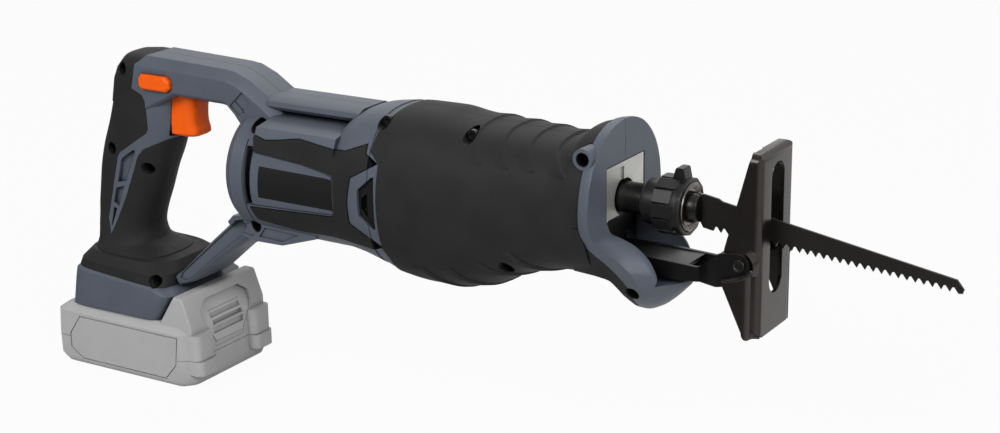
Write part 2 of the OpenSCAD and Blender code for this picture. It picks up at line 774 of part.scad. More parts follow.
bush_r = 12;
bush_x0 = -34;
bush_x1 = -8;
seal_r = 12;
seal_x1 = -3.6;
rear_bush_r = 9;
rear_bush_x0 = -98;
rear_bush_x1 = -88;
front_bearing_r = 6.5;
bearing_z = crown_z - crown_t - 1 - bearing_h;

module gear_case(side) {
    color(steel_col) difference() {
        half(side) union() {
            case_block(0);
            // visible nose plate
            translate([-6, -plate_hw, plate_bot]) cube([6, 2 * plate_hw, plate_top - plate_bot]);
        }
        case_cavity();
        if (side < 0) translate([-1, -plate_hw + 1.2, plate_bot - 1])
            cube([2, plate_hw - 2.4, plate_top - plate_bot - 1.4]);
        for (x = bracket_screw_x)
            translate([x, 0, bracket_z - 1]) cylinder(r = 2, h = 14, $fn = 32);
    }
}

module front_bush() {
    color("peru") tube_x(bush_r, plunger_d / 2 + run, bush_x0, bush_x1);
}

module rear_bush() {
    color("peru") tube_x(rear_bush_r, 6 + run, rear_bush_x0, rear_bush_x1);
}

module shaft_seal() {
    color(black_col) tube_x(seal_r, plunger_d / 2 + 0.15, bush_x1, seal_x1);
}

// ---- plunger, clamp and blade -------------------------------------------------------

yoke_l = 14;
yoke_hw = 17;
roller_r = 5;
core_r = 8;
clamp_x1 = clamp_x + clamp_len;
socket_x = clamp_x + 9;
blade_x = clamp_x1 + 7;

// Plunger with its yoke, and the core of the blade clamp on its front end
module plunger() {
    color([0.25, 0.25, 0.25]) difference() {
        union() {
            rod_x(6, crank_x - stroke - yoke_l / 2 - 22, crank_x);
            rod_x(plunger_d / 2, crank_x - yoke_l / 2, clamp_x - 0.2);
            rod_x(core_r, clamp_x - 1, clamp_x1 + 1);
            translate([crank_x - yoke_l / 2, -yoke_hw, -yoke_z])
                cube([yoke_l, 2 * yoke_hw, yoke_z - 1]);
        }
        // slot for the crank roller
        translate([crank_x - roller_r - 0.3, -yoke_hw + 1.6, -yoke_z - 1])
            cube([2 * roller_r + 0.6, 2 * yoke_hw - 3.2, 5]);
        // slot for the blade
        translate([socket_x, -blade_t / 2 - 0.1, -core_r - 1])
            cube([60, blade_t + 0.2, 2 * core_r + 2]);
        // cross hole for the clamp pin
        rod_y(pin_r + run, clamp_x + 15, 0, 0, 20, 32);
    }
}

yoke_z = 13;
pin_r = 2.5;

// Pin that locks the tang, pushed in by the collar's cam
module clamp_pin() {
    color(steel_col) rod_y(pin_r, clamp_x + 15, 0, blade_t / 2 + 0.15, core_r - 0.5, 32);
}

// Twist collar: plain rear part, ribbed front part and one lug on top
module clamp_collar() {
    rib_r = collar_d / 2;
    color(black_col) difference() {
        union() {
            rod_x(rib_r - 3.4, clamp_x + 1.5, clamp_x + 9);
            translate([clamp_x, 0, 0]) rotate([0, 90, 0])
                cylinder(r1 = rib_r - 4.6, r2 = rib_r - 3.4, h = 1.5 + eps, $fn = 64);
            rod_x(rib_r - 1, clamp_x + 8, clamp_x1);
            for (i = [0:collar_ribs - 1]) rotate([360 / collar_ribs * i, 0, 0])
                translate([clamp_x + 8, -rib_r * 0.18, rib_r - 3])
                    cube([clamp_len - 8.6, rib_r * 0.36, 3]);
            translate([clamp_x1 - 6.5, 4, rib_r - 4]) rotate([90, 0, 0]) linear_extrude(8)
                polygon([[-1.5, 0], [1, 9.4], [5, 9.4], [6, 0]]);
        }
        rod_x(core_r + run, clamp_x - 1, clamp_x1 + 1);
        rod_x(ring_r + 0.2, clamp_x1 - ring_seat, clamp_x1 + 1);
        translate([spring_x0 - 0.3, 0, 0]) rotate([0, 90, 0])
            cylinder(r = spring_r + 0.3, h = spring_len + 0.6, $fn = 64);
    }
}

ring_r = 12.6;
ring_seat = 2.2;
spring_x0 = clamp_x + 3;
spring_len = 5;
spring_r = 10.2;

// Steel ring on the clamp's core, which keeps the collar on
module clamp_ring() {
    color(steel_col) rotate([0, 90, 0]) translate([0, 0, clamp_x1 - ring_seat + 0.3])
        rotate_extrude($fn = 64) polygon([[core_r, 0], [ring_r - 0.6, 0], [ring_r, 0.6],
            [ring_r, 2.2], [ring_r - 0.8, 3], [core_r, 1.4]]);
}

// Return spring of the collar, a close winding inside its rear part
module clamp_spring() {
    color(steel_col) for (i = [0:3])
        translate([spring_x0 + 0.7 + i * 1.2, 0, 0]) rotate([0, 90, 0])
            rotate_extrude($fn = 48) translate([spring_r - 1, 0]) circle(r = 0.6, $fn = 16);
}

// Side view of the blade: back, nose and tooth line
blade_tip = blade_x + blade_len;

function back_z(x) = 7.4 - (x - 46.7) * 0.166;
function tooth_z(x) = -10.2 - (x - 46.4) * 0.086;

module blade() {
    n = floor((blade_len - 4) / tooth_pitch);
    first = blade_tip - 2.6 - n * tooth_pitch;
    teeth = [for (i = [0:n - 1]) let (x = first + i * tooth_pitch, z = tooth_z(x))
        each [[x, z], [x + 0.25 * tooth_pitch, z + tooth_depth - 0.3],
            [x + 0.5 * tooth_pitch, z + tooth_depth - 0.2]]];
    color([0.2, 0.19, 0.19]) side_plate(concat(
        [[socket_x + 1, 6.3], [blade_x - 3, 6.3], [blade_x, back_z(blade_x)],
            [blade_x + 8, back_z(blade_x + 8)], [blade_x + 10, back_z(blade_x + 10) - 0.8],
            [blade_tip - 3.6, back_z(blade_tip - 3.6) - 0.8], [blade_tip, tooth_z(blade_tip) + 2.4],
            [blade_tip - 0.6, tooth_z(blade_tip) + 0.4], [blade_tip - 2.6, tooth_z(blade_tip - 2.6)]],
        [for (i = [len(teeth) - 1:-1:0]) teeth[i]],
        [[blade_x, -9.6], [blade_x - 2, -6.3], [socket_x + 1, -6.3]]),
        -blade_t / 2, blade_t / 2);
}

// ---- crank and motor ----------------------------------------------------------------

// Crown gear with its crank pin and a counterweight opposite it
module crank_gear() {
    color("dimgray") translate([crank_x, 0, crown_z]) {
        translate([0, 0, -crown_t]) cylinder(r = crown_r + crown_face / 2, h = crown_t, $fn = 96);
        cylinder(r = 8, h = 1.6, $fn = 48);
        translate([0, crank_r, 0]) cylinder(r = 3, h = pin_top - crown_z, $fn = 32);
        for (i = [0:crown_teeth - 1]) rotate([0, 0, 360 / crown_teeth * i])
            translate([-crown_r - crown_face / 2, 0, -eps]) crown_tooth();
        difference() {
            cylinder(r = crown_r - crown_face / 2 - 1, h = 3.4, $fn = 64);
            translate([-60, -6, -1]) cube([120, 60, 8]);
        }
    }
}

pin_top = -yoke_z - 0.5;

// One straight tooth of the crown gear, its flanks at 20 degrees
module crown_tooth() {
    h = crown_tooth_h;
    translate([crown_face, 0, 0]) rotate([90, 0, -90]) linear_extrude(crown_face)
        polygon([[-0.62, 0], [-0.36, h], [0.36, h], [0.62, 0]]);
}

crown_tooth_h = 1.9 * tooth_m;

module crank_roller() {
    color(steel_col) translate([crank_x, crank_r, crown_z + 4]) difference() {
        cylinder(r = roller_r, h = pin_top - crown_z - 4, $fn = 48);
        translate([0, 0, -1]) cylinder(r = 3 + run, h = 20, $fn = 32);
    }
}

module crank_axle() {
    color(steel_col) translate([crank_x, 0, bearing_z - 1])
        cylinder(r = 4, h = crown_z - crown_t - bearing_z + 1, $fn = 48);
}

module crank_bearing() {
    color("silver") translate([crank_x, 0, bearing_z]) difference() {
        cylinder(r = bearing_d / 2, h = bearing_h, $fn = 64);
        translate([0, 0, -1]) cylinder(r = 4 + run, h = bearing_h + 2, $fn = 48);
    }
}

motor_x0 = -216;
motor_x1 = motor_x0 + motor_len;

module motor_can() {
    color("slategray") difference() {
        rod_x(motor_d / 2, motor_x0, motor_x1, barrel_z);
        rod_x(motor_d / 2 - 2, motor_x0 - 1, motor_x1 - 2, barrel_z);
        rod_x(5, motor_x1 - 5, motor_x1 + 1, barrel_z);
    }
}

module motor_magnets() {
    color([0.2, 0.2, 0.22]) difference() {
        tube_x(motor_d / 2 - 2, motor_d / 2 - 6, motor_x0 + 14, motor_x1 - 6, barrel_z);
        for (z = [-1, 1]) translate([-300, -7, barrel_z + (z < 0 ? -40 : 0)]) cube([300, 14, 40]);
    }
}

module motor_end_cap() {
    color(black_col) difference() {
        union() {
            rod_x(motor_d / 2 - 2 - eps, motor_x0, motor_x0 + 7, barrel_z);
            rod_x(9.5, motor_x0 - 6, motor_x0 + 1, barrel_z);
        }
        rod_x(rear_bearing_r, motor_x0 - 4, motor_x0 + 1.01, barrel_z);
        rod_x(4, motor_x0 - 9, motor_x0 + 9, barrel_z);
        for (s = [-1, 1]) translate([motor_x0 + 3, s * 12.5, barrel_z])
            cube([9, 9.2, 6.2], center = true);
    }
}

rear_bearing_r = 6.5;
motor_shaft_r = 2.5;
pinion_x1 = crank_x - crown_r + crown_face / 2 - 0.4;
pinion_x0 = pinion_x1 - crown_face - 1;

module rear_bearing() {
    color("silver") tube_x(rear_bearing_r, motor_shaft_r, motor_x0 - 4, motor_x0 + 1, barrel_z);
}

module front_bearing() {
    color("silver") tube_x(front_bearing_r, motor_shaft_r + run, case_rear, case_rear + 5, barrel_z);
}

// Laminated rotor, windings and commutator on the motor's shaft
module armature() {
    r = motor_d / 2 - 6.6;
    color("brown") translate([0, 0, barrel_z]) {
        rod_x(motor_shaft_r, motor_x0 - 3.9, pinion_x1);
        difference() {
            rod_x(r, motor_x0 + 18, motor_x1 - 12);
            for (i = [0:11]) rotate([30 * i, 0, 0])
                translate([motor_x0 + 17, -0.9, r - 6]) cube([60, 1.8, 7]);
        }
        rod_x(r - 3.5, motor_x0 + 14, motor_x0 + 18.01);
        rod_x(r - 3.5, motor_x1 - 12.01, motor_x1 - 7);
        rod_x(7, motor_x0 + 8, motor_x0 + 14.01);
    }
}

module carbon_brushes() {
    color("black") for (s = [-1, 1])
        translate([motor_x0 + 7.6, s * 12.5, barrel_z]) cube([9, 9, 6], center = true);
}

// Radial fan between the motor and the gear case
module cooling_fan() {
    x0 = motor_x1 + 6;
    color(black_col) translate([0, 0, barrel_z]) difference() {
        union() {
            rod_x(5, x0, x0 + 14);
            rod_x(motor_d / 2 - 1, x0, x0 + 2);
            for (i = [0:11]) rotate([30 * i, 0, 0])
                translate([x0 + 1, -0.8, 8]) cube([12, 1.6, motor_d / 2 - 9]);
        }
        rod_x(motor_shaft_r, x0 - 1, x0 + 15);
    }
}

// Pinion: straight teeth with 20 degree flanks on the motor's shaft
module motor_pinion() {
    color("dimgray") translate([pinion_x0, 0, barrel_z]) rotate([0, 90, 0])
        linear_extrude(pinion_x1 - pinion_x0) difference() {
            union() {
                circle(r = pinion_r - 1.1 * tooth_m, $fn = 48);
                for (i = [0:pinion_teeth - 1]) rotate(360 / pinion_teeth * (i + 0.5))
                    polygon([[pinion_r - 1.6, -0.75], [pinion_r, -0.55], [pinion_r + 0.85, -0.25],
                        [pinion_r + 0.85, 0.25], [pinion_r, 0.55], [pinion_r - 1.6, 0.75]]);
            }
            circle(r = motor_shaft_r, $fn = 48);
        }
}

// ---- shoe ---------------------------------------------------------------------------

pivot_x = 74;
pivot_z = -18.8;
face_x = 84;
bracket_t = 2;
bracket_z = -36.4;
pad_hw = 9.6;
arm_y = pad_hw + 0.3;
bracket_screw_x = [-30, -14];
lug_y = shoe_w / 2 + 0.3;
flange_end = face_x - 19;

// Folded bracket: a channel under the gear case, whose walls splay out to two lugs
module shoe_bracket() {
    color(black_col) {
        difference() {
            translate([-42, -arm_y - bracket_t, bracket_z])
                cube([78, 2 * (arm_y + bracket_t), bracket_t]);
            for (x = bracket_screw_x)
                translate([x, 0, bracket_z - 1]) cylinder(r = 2.2, h = 5, $fn = 32);
        }
        for (s = [-1, 1]) {
            side_plate([[-42, bracket_z], [-42, -31], [-36, -31], [-34, -28.6], [0, -27],
                [20, -26.6], [36.5, -28.3], [36.5, bracket_z]], s > 0 ? arm_y : -arm_y - bracket_t,
                s > 0 ? arm_y + bracket_t : -arm_y);
            hull() {
                side_plate([[36, bracket_z], [36, -28.3], [36.5, -28.3], [36.5, bracket_z]],
                    s > 0 ? arm_y : -arm_y - bracket_t, s > 0 ? arm_y + bracket_t : -arm_y);
                side_plate([[53.5, -34.6], [53.5, -16.6], [54, -16.4], [54, -34.5]],
                    s > 0 ? lug_y : -lug_y - bracket_t, s > 0 ? lug_y + bracket_t : -lug_y);
            }
            difference() {
                union() {
                    side_plate([[53.9, -34.5], [53.9, -16.4], [62, -13.4],
                        [pivot_x, pivot_z + 5.8], [pivot_x, pivot_z - 5.8], [66, -31]],
                        s > 0 ? lug_y : -lug_y - bracket_t, s > 0 ? lug_y + bracket_t : -lug_y);
                    rod_y(5.8, pivot_x, pivot_z, s > 0 ? lug_y : -lug_y - bracket_t,
                        s > 0 ? lug_y + bracket_t : -lug_y);
                }
                rod_y(pin_d / 2, pivot_x, pivot_z, -60, 60);
            }
        }
    }
}

module shoe_pin() {
    y = lug_y + bracket_t;
    color([0.2, 0.2, 0.2]) {
        rod_y(pin_d / 2, pivot_x, pivot_z, -y, y);
        for (s = [-1, 1]) rod_y(pin_d / 2 + 1, pivot_x, pivot_z,
            s > 0 ? y : -y - 1.2, s > 0 ? y + 1.2 : -y);
    }
}

module bracket_screws() {
    color(steel_col) for (x = bracket_screw_x) translate([x, 0, bracket_z]) {
        translate([0, 0, -1.8]) cylinder(r = 3.6, h = 1.8, $fn = 32);
        translate([0, 0, -0.5]) cylinder(r = 1.95, h = 12, $fn = 32);
    }
}

module shoe() {
    top = pivot_z + shoe_up;
    bot = pivot_z - shoe_down;
    hw = shoe_w / 2;
    color([0.16, 0.15, 0.15]) difference() {
        union() {
            // face and its bends
            hull() {
                translate([face_x - shoe_t, -hw + 2.4, bot + 3]) cube([shoe_t, 2 * hw - 4.8, 4]);
                translate([face_x - shoe_t, -hw + 2.4, top - 6]) cube([shoe_t, 2 * hw - 4.8, 6]);
                for (s = [-1, 1]) translate([face_x - 2.4, s * (hw - 2.4), bot + 6])
                    cylinder(r = 2.4, h = top - bot - 10, $fn = 24);
            }
            for (s = [-1, 1]) {
                y0 = s > 0 ? hw - shoe_t : -hw;
                y1 = s > 0 ? hw : -hw + shoe_t;
                side_plate([[face_x - 2.4, pivot_z - 7], [face_x - 2.4, top - 4], [78, top - 1.7],
                    [flange_end, -12.4], [67.5, -23], [70, -25.8]], y0, y1);
                side_plate([[face_x - 2.4, bot + 4], [face_x - 2.4, pivot_z],
                    [face_x - 4.5, pivot_z], [face_x - 4.5, bot + 3]], y0, y1);
                // lower flange stepped out past the bracket's lug
                side_plate([[flange_end, -28.7], [flange_end, -30.5], [75, -52.5],
                    [79.6, -52.5], [79.6, -27]], s > 0 ? hw + 2.8 : -hw - 4.4,
                    s > 0 ? hw + 4.4 : -hw - 2.8);
                hull() {
                    side_plate([[79.4, -27], [79.4, -52.5], [79.6, -52.5], [79.6, -27]],
                        s > 0 ? hw + 2.8 : -hw - 4.4, s > 0 ? hw + 4.4 : -hw - 2.8);
                    side_plate([[82, -26], [82, -52], [82.6, -52], [82.6, -26]], y0, y1);
                }
                // rolled edge along its top
                hull() for (p = [[flange_end + 0.6, -28.3], [79, -26.6]])
                    rod_y(1.1, p[0], p[1], s > 0 ? hw + 2.8 : -hw - 5.4,
                        s > 0 ? hw + 5.4 : -hw - 2.8, 16);
            }
            // turned-in top edge
            translate([77, -hw + 3, top - 2]) cube([face_x - 79, 2 * hw - 6, shoe_t]);
        }
        // hollow behind the face
        translate([50, -hw + shoe_t, bot - 5])
            cube([face_x - shoe_t - 50, 2 * hw - 2 * shoe_t, top - bot + 3.2]);
        hull() for (z = [pivot_z - 10.6, pivot_z + shoe_up - 14.4])
            rod_x(slot_w / 2, face_x - 12, face_x + 2, z);
        rod_y(pin_d / 2 + run, pivot_x, pivot_z, -60, 60);
    }
}

// ---- controls -----------------------------------------------------------------------

switch_hw = 10;

// Front edge of the finger lever from its top down: height, distance before its rear
trigger_rows = [[20.8, 12.8], [17, 12.9], [12, 12.2], [7, 11.9], [3, 12.3], [0, 13.2],
    [-2.2, 13.4], [-3.6, 11.8]];

function trigger_row(z, reach) = let (x = trigger_x, f = trigger_x + reach, h = trigger_hw)
    [for (p = [[x, h], [f - 5.6, h], [f - 2.8, h - 0.7], [f - 1.1, h - 2.1], [f, h - 4.6]])
        each [[p[0], p[1], z]], for (p = [[f, h - 4.6], [f - 1.1, h - 2.1], [f - 2.8, h - 0.7],
        [f - 5.6, h], [x, h]]) [p[0], -p[1], z]];

// Finger lever: a curved face in front of a stem that runs into the switch
module trigger() {
    x = trigger_x;
    color(orange_col) {
        loft([for (r = trigger_rows) trigger_row(r[0], r[1])]);
        translate([switch_x1 - trigger_travel + 0.5, -4, 6])
            cube([x - switch_x1 + trigger_travel + 1, 8, 6]);
    }
}

trigger_x = -290.5;

switch_x0 = -321;
switch_x1 = -300.5;

module switch_module() {
    color(black_col) difference() {
        translate([switch_x0, -switch_hw, -9.5]) cube([switch_x1 - switch_x0, 2 * switch_hw, 30]);
        translate([switch_x1 - 2 * trigger_travel - 0.5, -4.4, 5.6]) cube([20, 8.8, 6.8]);
    }
}

// Return spring of the trigger, behind its face
module trigger_spring() {
    x0 = switch_x1 + 0.55;
    len = trigger_x - trigger_travel - 0.85 - x0;
    color(steel_col) for (i = [0:2])
        translate([x0 + i * len / 2, 0, 1.6]) rotate([0, 90, 0])
            rotate_extrude($fn = 32) translate([3, 0]) circle(r = 0.4, $fn = 12);
}

lock_outline = [[-308.2, 26.5], [-306, 24.6], [-288, 24.6], [-285.2, 27], [-285.2, 31],
    [-288, 33.6], [-306, 33.6], [-308.2, 31]];

module lock_slot() {
    side_plate([for (p = lock_outline) [p[0] + (p[0] > -297 ? gap : -gap),
        p[1] + (p[1] > 29 ? gap : -gap)]], -60, 60);
}

module lock_off_bar() {
    y = arm_hw + lock_travel + 0.6;
    color(orange_col) hull() {
        side_plate(lock_outline, -y + 1.2, y - 1.2);
        side_plate([for (p = lock_outline) [-296.7 + (p[0] + 296.7) * 0.88,
            29.1 + (p[1] - 29.1) * 0.76]], -y, y);
    }
}

// ---- battery ------------------------------------------------------------------------

rail_x0 = -352;
rail_hw = 26;
rail_top = -98;
batt_rear = -371.5;
batt_front = -267.5;
batt_top = foot_z - gap;
batt_bot = batt_top - batt_h;
batt_seam = batt_top - 20;

module terminal_block() {
    color(black_col) {
        translate([rail_x0 + 2, -14, rail_top + gap]) cube([30, 28, 7]);
        for (y = [-9, -3, 3, 9]) translate([rail_x0 + 4, y - 0.4, rail_top - 6.5])
            cube([14, 0.8, 7]);
    }
}

// Plan of the battery: its rear corners nearly square, its front corners cut off
module batt_plan(inset, z, h) {
    i = inset;
    translate([0, 0, z]) linear_extrude(h) polygon([
        [batt_rear + i + 3, -batt_hw + i], [batt_front - i - 7, -batt_hw + i],
        [batt_front - i, -batt_hw + i + 8], [batt_front - i, batt_hw - i - 8],
        [batt_front - i - 7, batt_hw - i], [batt_rear + i + 3, batt_hw - i],
        [batt_rear + i, batt_hw - i - 3], [batt_rear + i, -batt_hw + i + 3]]);
}

// Buffer on each front corner of the battery
module batt_buffers(z0, z1, x1) {
    for (s = [-1, 1]) side_plate([[batt_front - 8, z1], [x1 - 3, z1], [x1, z1 - 2], [x1, z0 + 3],
        [x1 - 2, z0], [batt_front - 8, z0]], s > 0 ? 19.5 : -35, s > 0 ? 35 : -19.5);
}

module batt_upper_body() {
    hull() {
        batt_plan(5, batt_top - 1, 1);
        batt_plan(0.6, batt_top - 5, 1);
        batt_plan(0, batt_seam, 1);
    }
    // block in front of the foot that carries the release button
    hull() {
        side_plate([[foot_front - 11, batt_top - 2], [foot_front + 0.8, -95],
            [foot_front + 5.4, -95], [batt_front - 0.2, batt_top - 6],
            [batt_front - 0.2, batt_top - 8]], -27, 27);
        side_plate([[foot_front - 11, batt_top - 2], [foot_front + 0.5, -96],
            [foot_front + 4.4, -96], [batt_front - 5, batt_top - 8]], -34, 34);
    }
    batt_buffers(batt_seam, batt_top - 8, batt_front + 4.6);
    translate([rail_x0, -rail_hw, batt_top - 4]) cube([72, 2 * rail_hw, rail_top - batt_top + 4]);
}

module battery_upper() {
    color(battery_col) difference() {
        batt_upper_body();
        // room for the terminals
        for (y = [-9, -3, 3, 9]) translate([rail_x0 - 1, y - 0.9, rail_top - 8])
            cube([22, 1.8, 9]);
        // room for the cells
        translate([cell_x0 - 0.4, -cell_room_y, batt_seam - 1])
            cube([cell_len_all + 0.4, 2 * cell_room_y, 14]);
        latch_room();
        batt_recess();
        // undercut beside the rails
        for (s = [-1, 1]) translate([rail_x0 - 5, s * rail_hw - 2.5, batt_top - 0.01])
            cube([74, 5, 5]);
    }
}

// Shallow framed field on each side of the battery
module batt_recess() {
    zt = batt_top - 6;
    zb = batt_bot + 4;
    for (s = [-1, 1]) side_plate([[-352.5, zt], [-361, zt - 12], [-361, zb + 6], [-352, zb],
        [-286, zb], [-277.5, zb + 10], [-275.5, zt + 0.5]],
        s > 0 ? batt_hw - 0.8 : -batt_hw - 5, s > 0 ? batt_hw + 5 : -batt_hw + 0.8);
}

module battery_lower() {
    color(battery_col) difference() {
        union() {
            hull() {
                batt_plan(0, batt_seam - 1.2, 1);
                batt_plan(0.3, batt_bot + 2.6, 1);
                batt_plan(2.4, batt_bot, 1);
            }
            batt_buffers(batt_bot + 8, batt_seam - 0.2, batt_front + 6.4);
        }
        side_plate([[cell_x0 - 0.4, batt_seam + 1], [cell_x0 - 0.4, batt_bot + 7.5],
            [cell_x0 + 7, batt_bot + 2], [cell_x0 + cell_len_all, batt_bot + 2],
            [cell_x0 + cell_len_all, batt_seam + 1]], -cell_room_y, cell_room_y);
        batt_recess();
        // rear edge cut off below
        side_plate([[batt_rear - 1, batt_bot + 9], [batt_rear - 1, batt_bot - 1],
            [batt_rear + 11, batt_bot - 1]], -60, 60);
    }
}

cell_d = 18.4;
cell_len = 65;
cell_count = 5;
cell_gap = 0.6;             // between the cells, and behind the first one
cell_x0 = batt_rear + 4.5;
cell_len_all = cell_count * (cell_d + cell_gap) + 0.4;
cell_room_y = cell_len / 2 + 0.5;

module battery_cells() {
    color("seagreen") for (i = [0:cell_count - 1])
        translate([cell_x0 + cell_gap + cell_d / 2 + i * (cell_d + cell_gap), -cell_len / 2,
            batt_bot + 2.3 + cell_d / 2]) rotate([-90, 0, 0])
            cylinder(r = cell_d / 2, h = cell_len, $fn = 48);
}

module battery_contacts() {
    color("goldenrod") for (y = [-9, -3, 3, 9]) for (s = [-1, 1])
        translate([rail_x0 + 2, y + s * 0.65 - 0.2, rail_top - 7.9]) cube([12, 0.4, 6]);
}

// Release button on the sloping front of the battery
module latch_frame(grow, x0, x1) {
    g = grow;
    front_bar([[-15 - g / 2, latch_top + g], [-22 - g, latch_top - 5], [-22 - g, latch_top - 11],
        [-12 - g, latch_bot - g], [12 + g, latch_bot - g], [22 + g, latch_top - 11],
        [22 + g, latch_top - 5], [15 + g / 2, latch_top + g]], x0, x1);
}

latch_top = batt_top + 12.1;
latch_bot = batt_top - 14.4;
latch_x = foot_front + 3.5;     // rear face of the release button

module latch_room() {
    latch_frame(gap, latch_x - latch_travel - 2.5, batt_front + 12);
    // finger room below the button
    side_plate([[batt_front, latch_bot + 1], [batt_front + 12, latch_bot + 1],
        [batt_front + 12, batt_seam + 2.6], [batt_front - 0.4, batt_seam + 2.6]], -13, 13);
}

// Button with a hexagonal outline, hollowed in front and ribbed for the thumb
module battery_latch() {
    color([0.5, 0.5, 0.5]) difference() {
        intersection() {
            side_plate([[latch_x, latch_top], [latch_x + 2.9, latch_top], [batt_front - 0.4, -115.4],
                [batt_front - 0.1, latch_bot], [latch_x, latch_bot]], -30, 30);
            latch_frame(0, latch_x - 1, batt_front + 12);
        }
        difference() {
            side_plate([[latch_x + 5.6, -102.6], [latch_x + 8.1, -106.4], [batt_front + 5.5, -108],
                [batt_front + 5.5, -121], [batt_front - 1.9, -121], [latch_x + 6.9, -112]],
                -13.5, 13.5);
            for (i = [0:2]) translate([batt_front - 3.9 + i * 0.9, 0, -108.4 - i * 4])
                cube([5, 40, 1.4], center = true);
        }
    }
}

module latch_spring() {
    color(steel_col) for (i = [0:1])
        translate([latch_x - 4.9 + i, 0, batt_top - 1.4]) rotate([0, 90, 0])
            rotate_extrude($fn = 32) translate([4, 0]) circle(r = 0.45, $fn = 12);
}

// ---- screws -------------------------------------------------------------------------

module housing_screws() {
    color(steel_col) for (i = [0:len(screw_points) - 1]) {
        p = screw_points[i];
        y = -screw_y[i] + 8;
        difference() {
            union() {
                rod_y(3, p[0], p[1], y - 2.4, y, 32);
                rod_y(screw_shank_r, p[0], p[1], y - 0.1, 8.5, 16);
            }
            rod_y(1.4, p[0], p[1], y - 3, y - 1.2, 6);
        }
    }
}

color(housing_col) housing_half(-1);  // housing_right
color(housing_col) housing_half(1);  // housing_left
front_sleeve(-1);  // front_sleeve_right
front_sleeve(1);  // front_sleeve_left
handle_grip(-1);  // handle_grip_right
handle_grip(1);  // handle_grip_left
side_cover(-1);  // side_cover_right
side_cover(1);  // side_cover_left
label_plate();
vent_insert(-1);  // vent_insert_right
vent_insert(1);  // vent_insert_left
gear_case(-1);  // gear_case_right
gear_case(1);  // gear_case_left
front_bush();
rear_bush();
shaft_seal();
plunger();
clamp_pin();
clamp_collar();
clamp_ring();
clamp_spring();
blade();
crank_gear();
crank_roller();
crank_bearing();
crank_axle();
motor_can();
motor_magnets();
motor_end_cap();
armature();
motor_pinion();
cooling_fan();
front_bearing();
rear_bearing();
carbon_brushes();
shoe_bracket();
shoe_pin();
shoe();
bracket_screws();
trigger();
trigger_spring();
switch_module();
lock_off_bar();
terminal_block();
battery_upper();
battery_lower();
battery_cells();
battery_contacts();
battery_latch();
latch_spring();
housing_screws();
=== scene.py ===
import json
import math
import bmesh
import bpy
import numpy as np
from mathutils import Matrix, Vector


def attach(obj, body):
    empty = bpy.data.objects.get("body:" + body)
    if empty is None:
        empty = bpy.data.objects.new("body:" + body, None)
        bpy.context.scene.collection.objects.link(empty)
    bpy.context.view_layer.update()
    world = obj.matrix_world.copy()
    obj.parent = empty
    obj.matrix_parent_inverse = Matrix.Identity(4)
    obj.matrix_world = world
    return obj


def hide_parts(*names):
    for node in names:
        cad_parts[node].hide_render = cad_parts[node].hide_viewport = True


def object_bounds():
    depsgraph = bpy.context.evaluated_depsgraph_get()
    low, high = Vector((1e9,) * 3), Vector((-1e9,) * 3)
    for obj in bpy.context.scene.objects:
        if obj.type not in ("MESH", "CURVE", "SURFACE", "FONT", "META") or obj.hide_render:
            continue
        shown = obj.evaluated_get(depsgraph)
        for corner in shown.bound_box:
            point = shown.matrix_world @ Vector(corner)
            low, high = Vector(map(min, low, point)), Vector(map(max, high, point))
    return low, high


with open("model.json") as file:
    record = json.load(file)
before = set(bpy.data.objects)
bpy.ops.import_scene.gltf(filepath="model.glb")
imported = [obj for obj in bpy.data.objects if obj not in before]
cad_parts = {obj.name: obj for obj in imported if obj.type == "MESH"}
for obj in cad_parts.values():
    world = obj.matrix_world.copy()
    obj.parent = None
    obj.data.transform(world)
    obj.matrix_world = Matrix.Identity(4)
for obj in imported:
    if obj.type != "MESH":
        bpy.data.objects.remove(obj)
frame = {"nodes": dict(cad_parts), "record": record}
cad_lo, cad_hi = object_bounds()
mm = 0.001


def placed(name, data):
    """New object of the data, put in the scene."""
    obj = bpy.data.objects.new(name, data)
    bpy.context.scene.collection.objects.link(obj)
    return obj


# ---- materials ----

PAINTED_SHADE_REACH = 7 * mm       # how far painted shade reaches into a groove or hole
CAVITY_SHADE_HEIGHT = -9.1 * mm       # the die casting is drawn dark below this height: painted shade of the cavity under the nose plate


def srgb(colour):
    """Linear colour of a colour written 0 to 255."""
    def lin(v):
        v /= 255
        return v / 12.92 if v <= 0.04045 else ((v + 0.055) / 1.055) ** 2.4
    return [lin(v) for v in colour]


def feed(nt, made, inputs):
    """Gives each input of a shader node its value, or links it to another node's output."""
    for key, value in inputs.items():
        if isinstance(value, bpy.types.NodeSocket):
            nt.links.new(value, made.inputs[key])
        else:
            made.inputs[key].default_value = value


def node(nt, kind, inputs=None, **settings):
    made = nt.nodes.new("ShaderNode" + kind)
    for key, value in settings.items():
        setattr(made, key, value)
    feed(nt, made, inputs or {})
    return made


def darkened(nt, colour, amount):
    """Colour output multiplied by an amount from 0 to 1."""
    return node(nt, "VectorMath", {0: colour, "Scale": amount}, operation="SCALE").outputs[0]


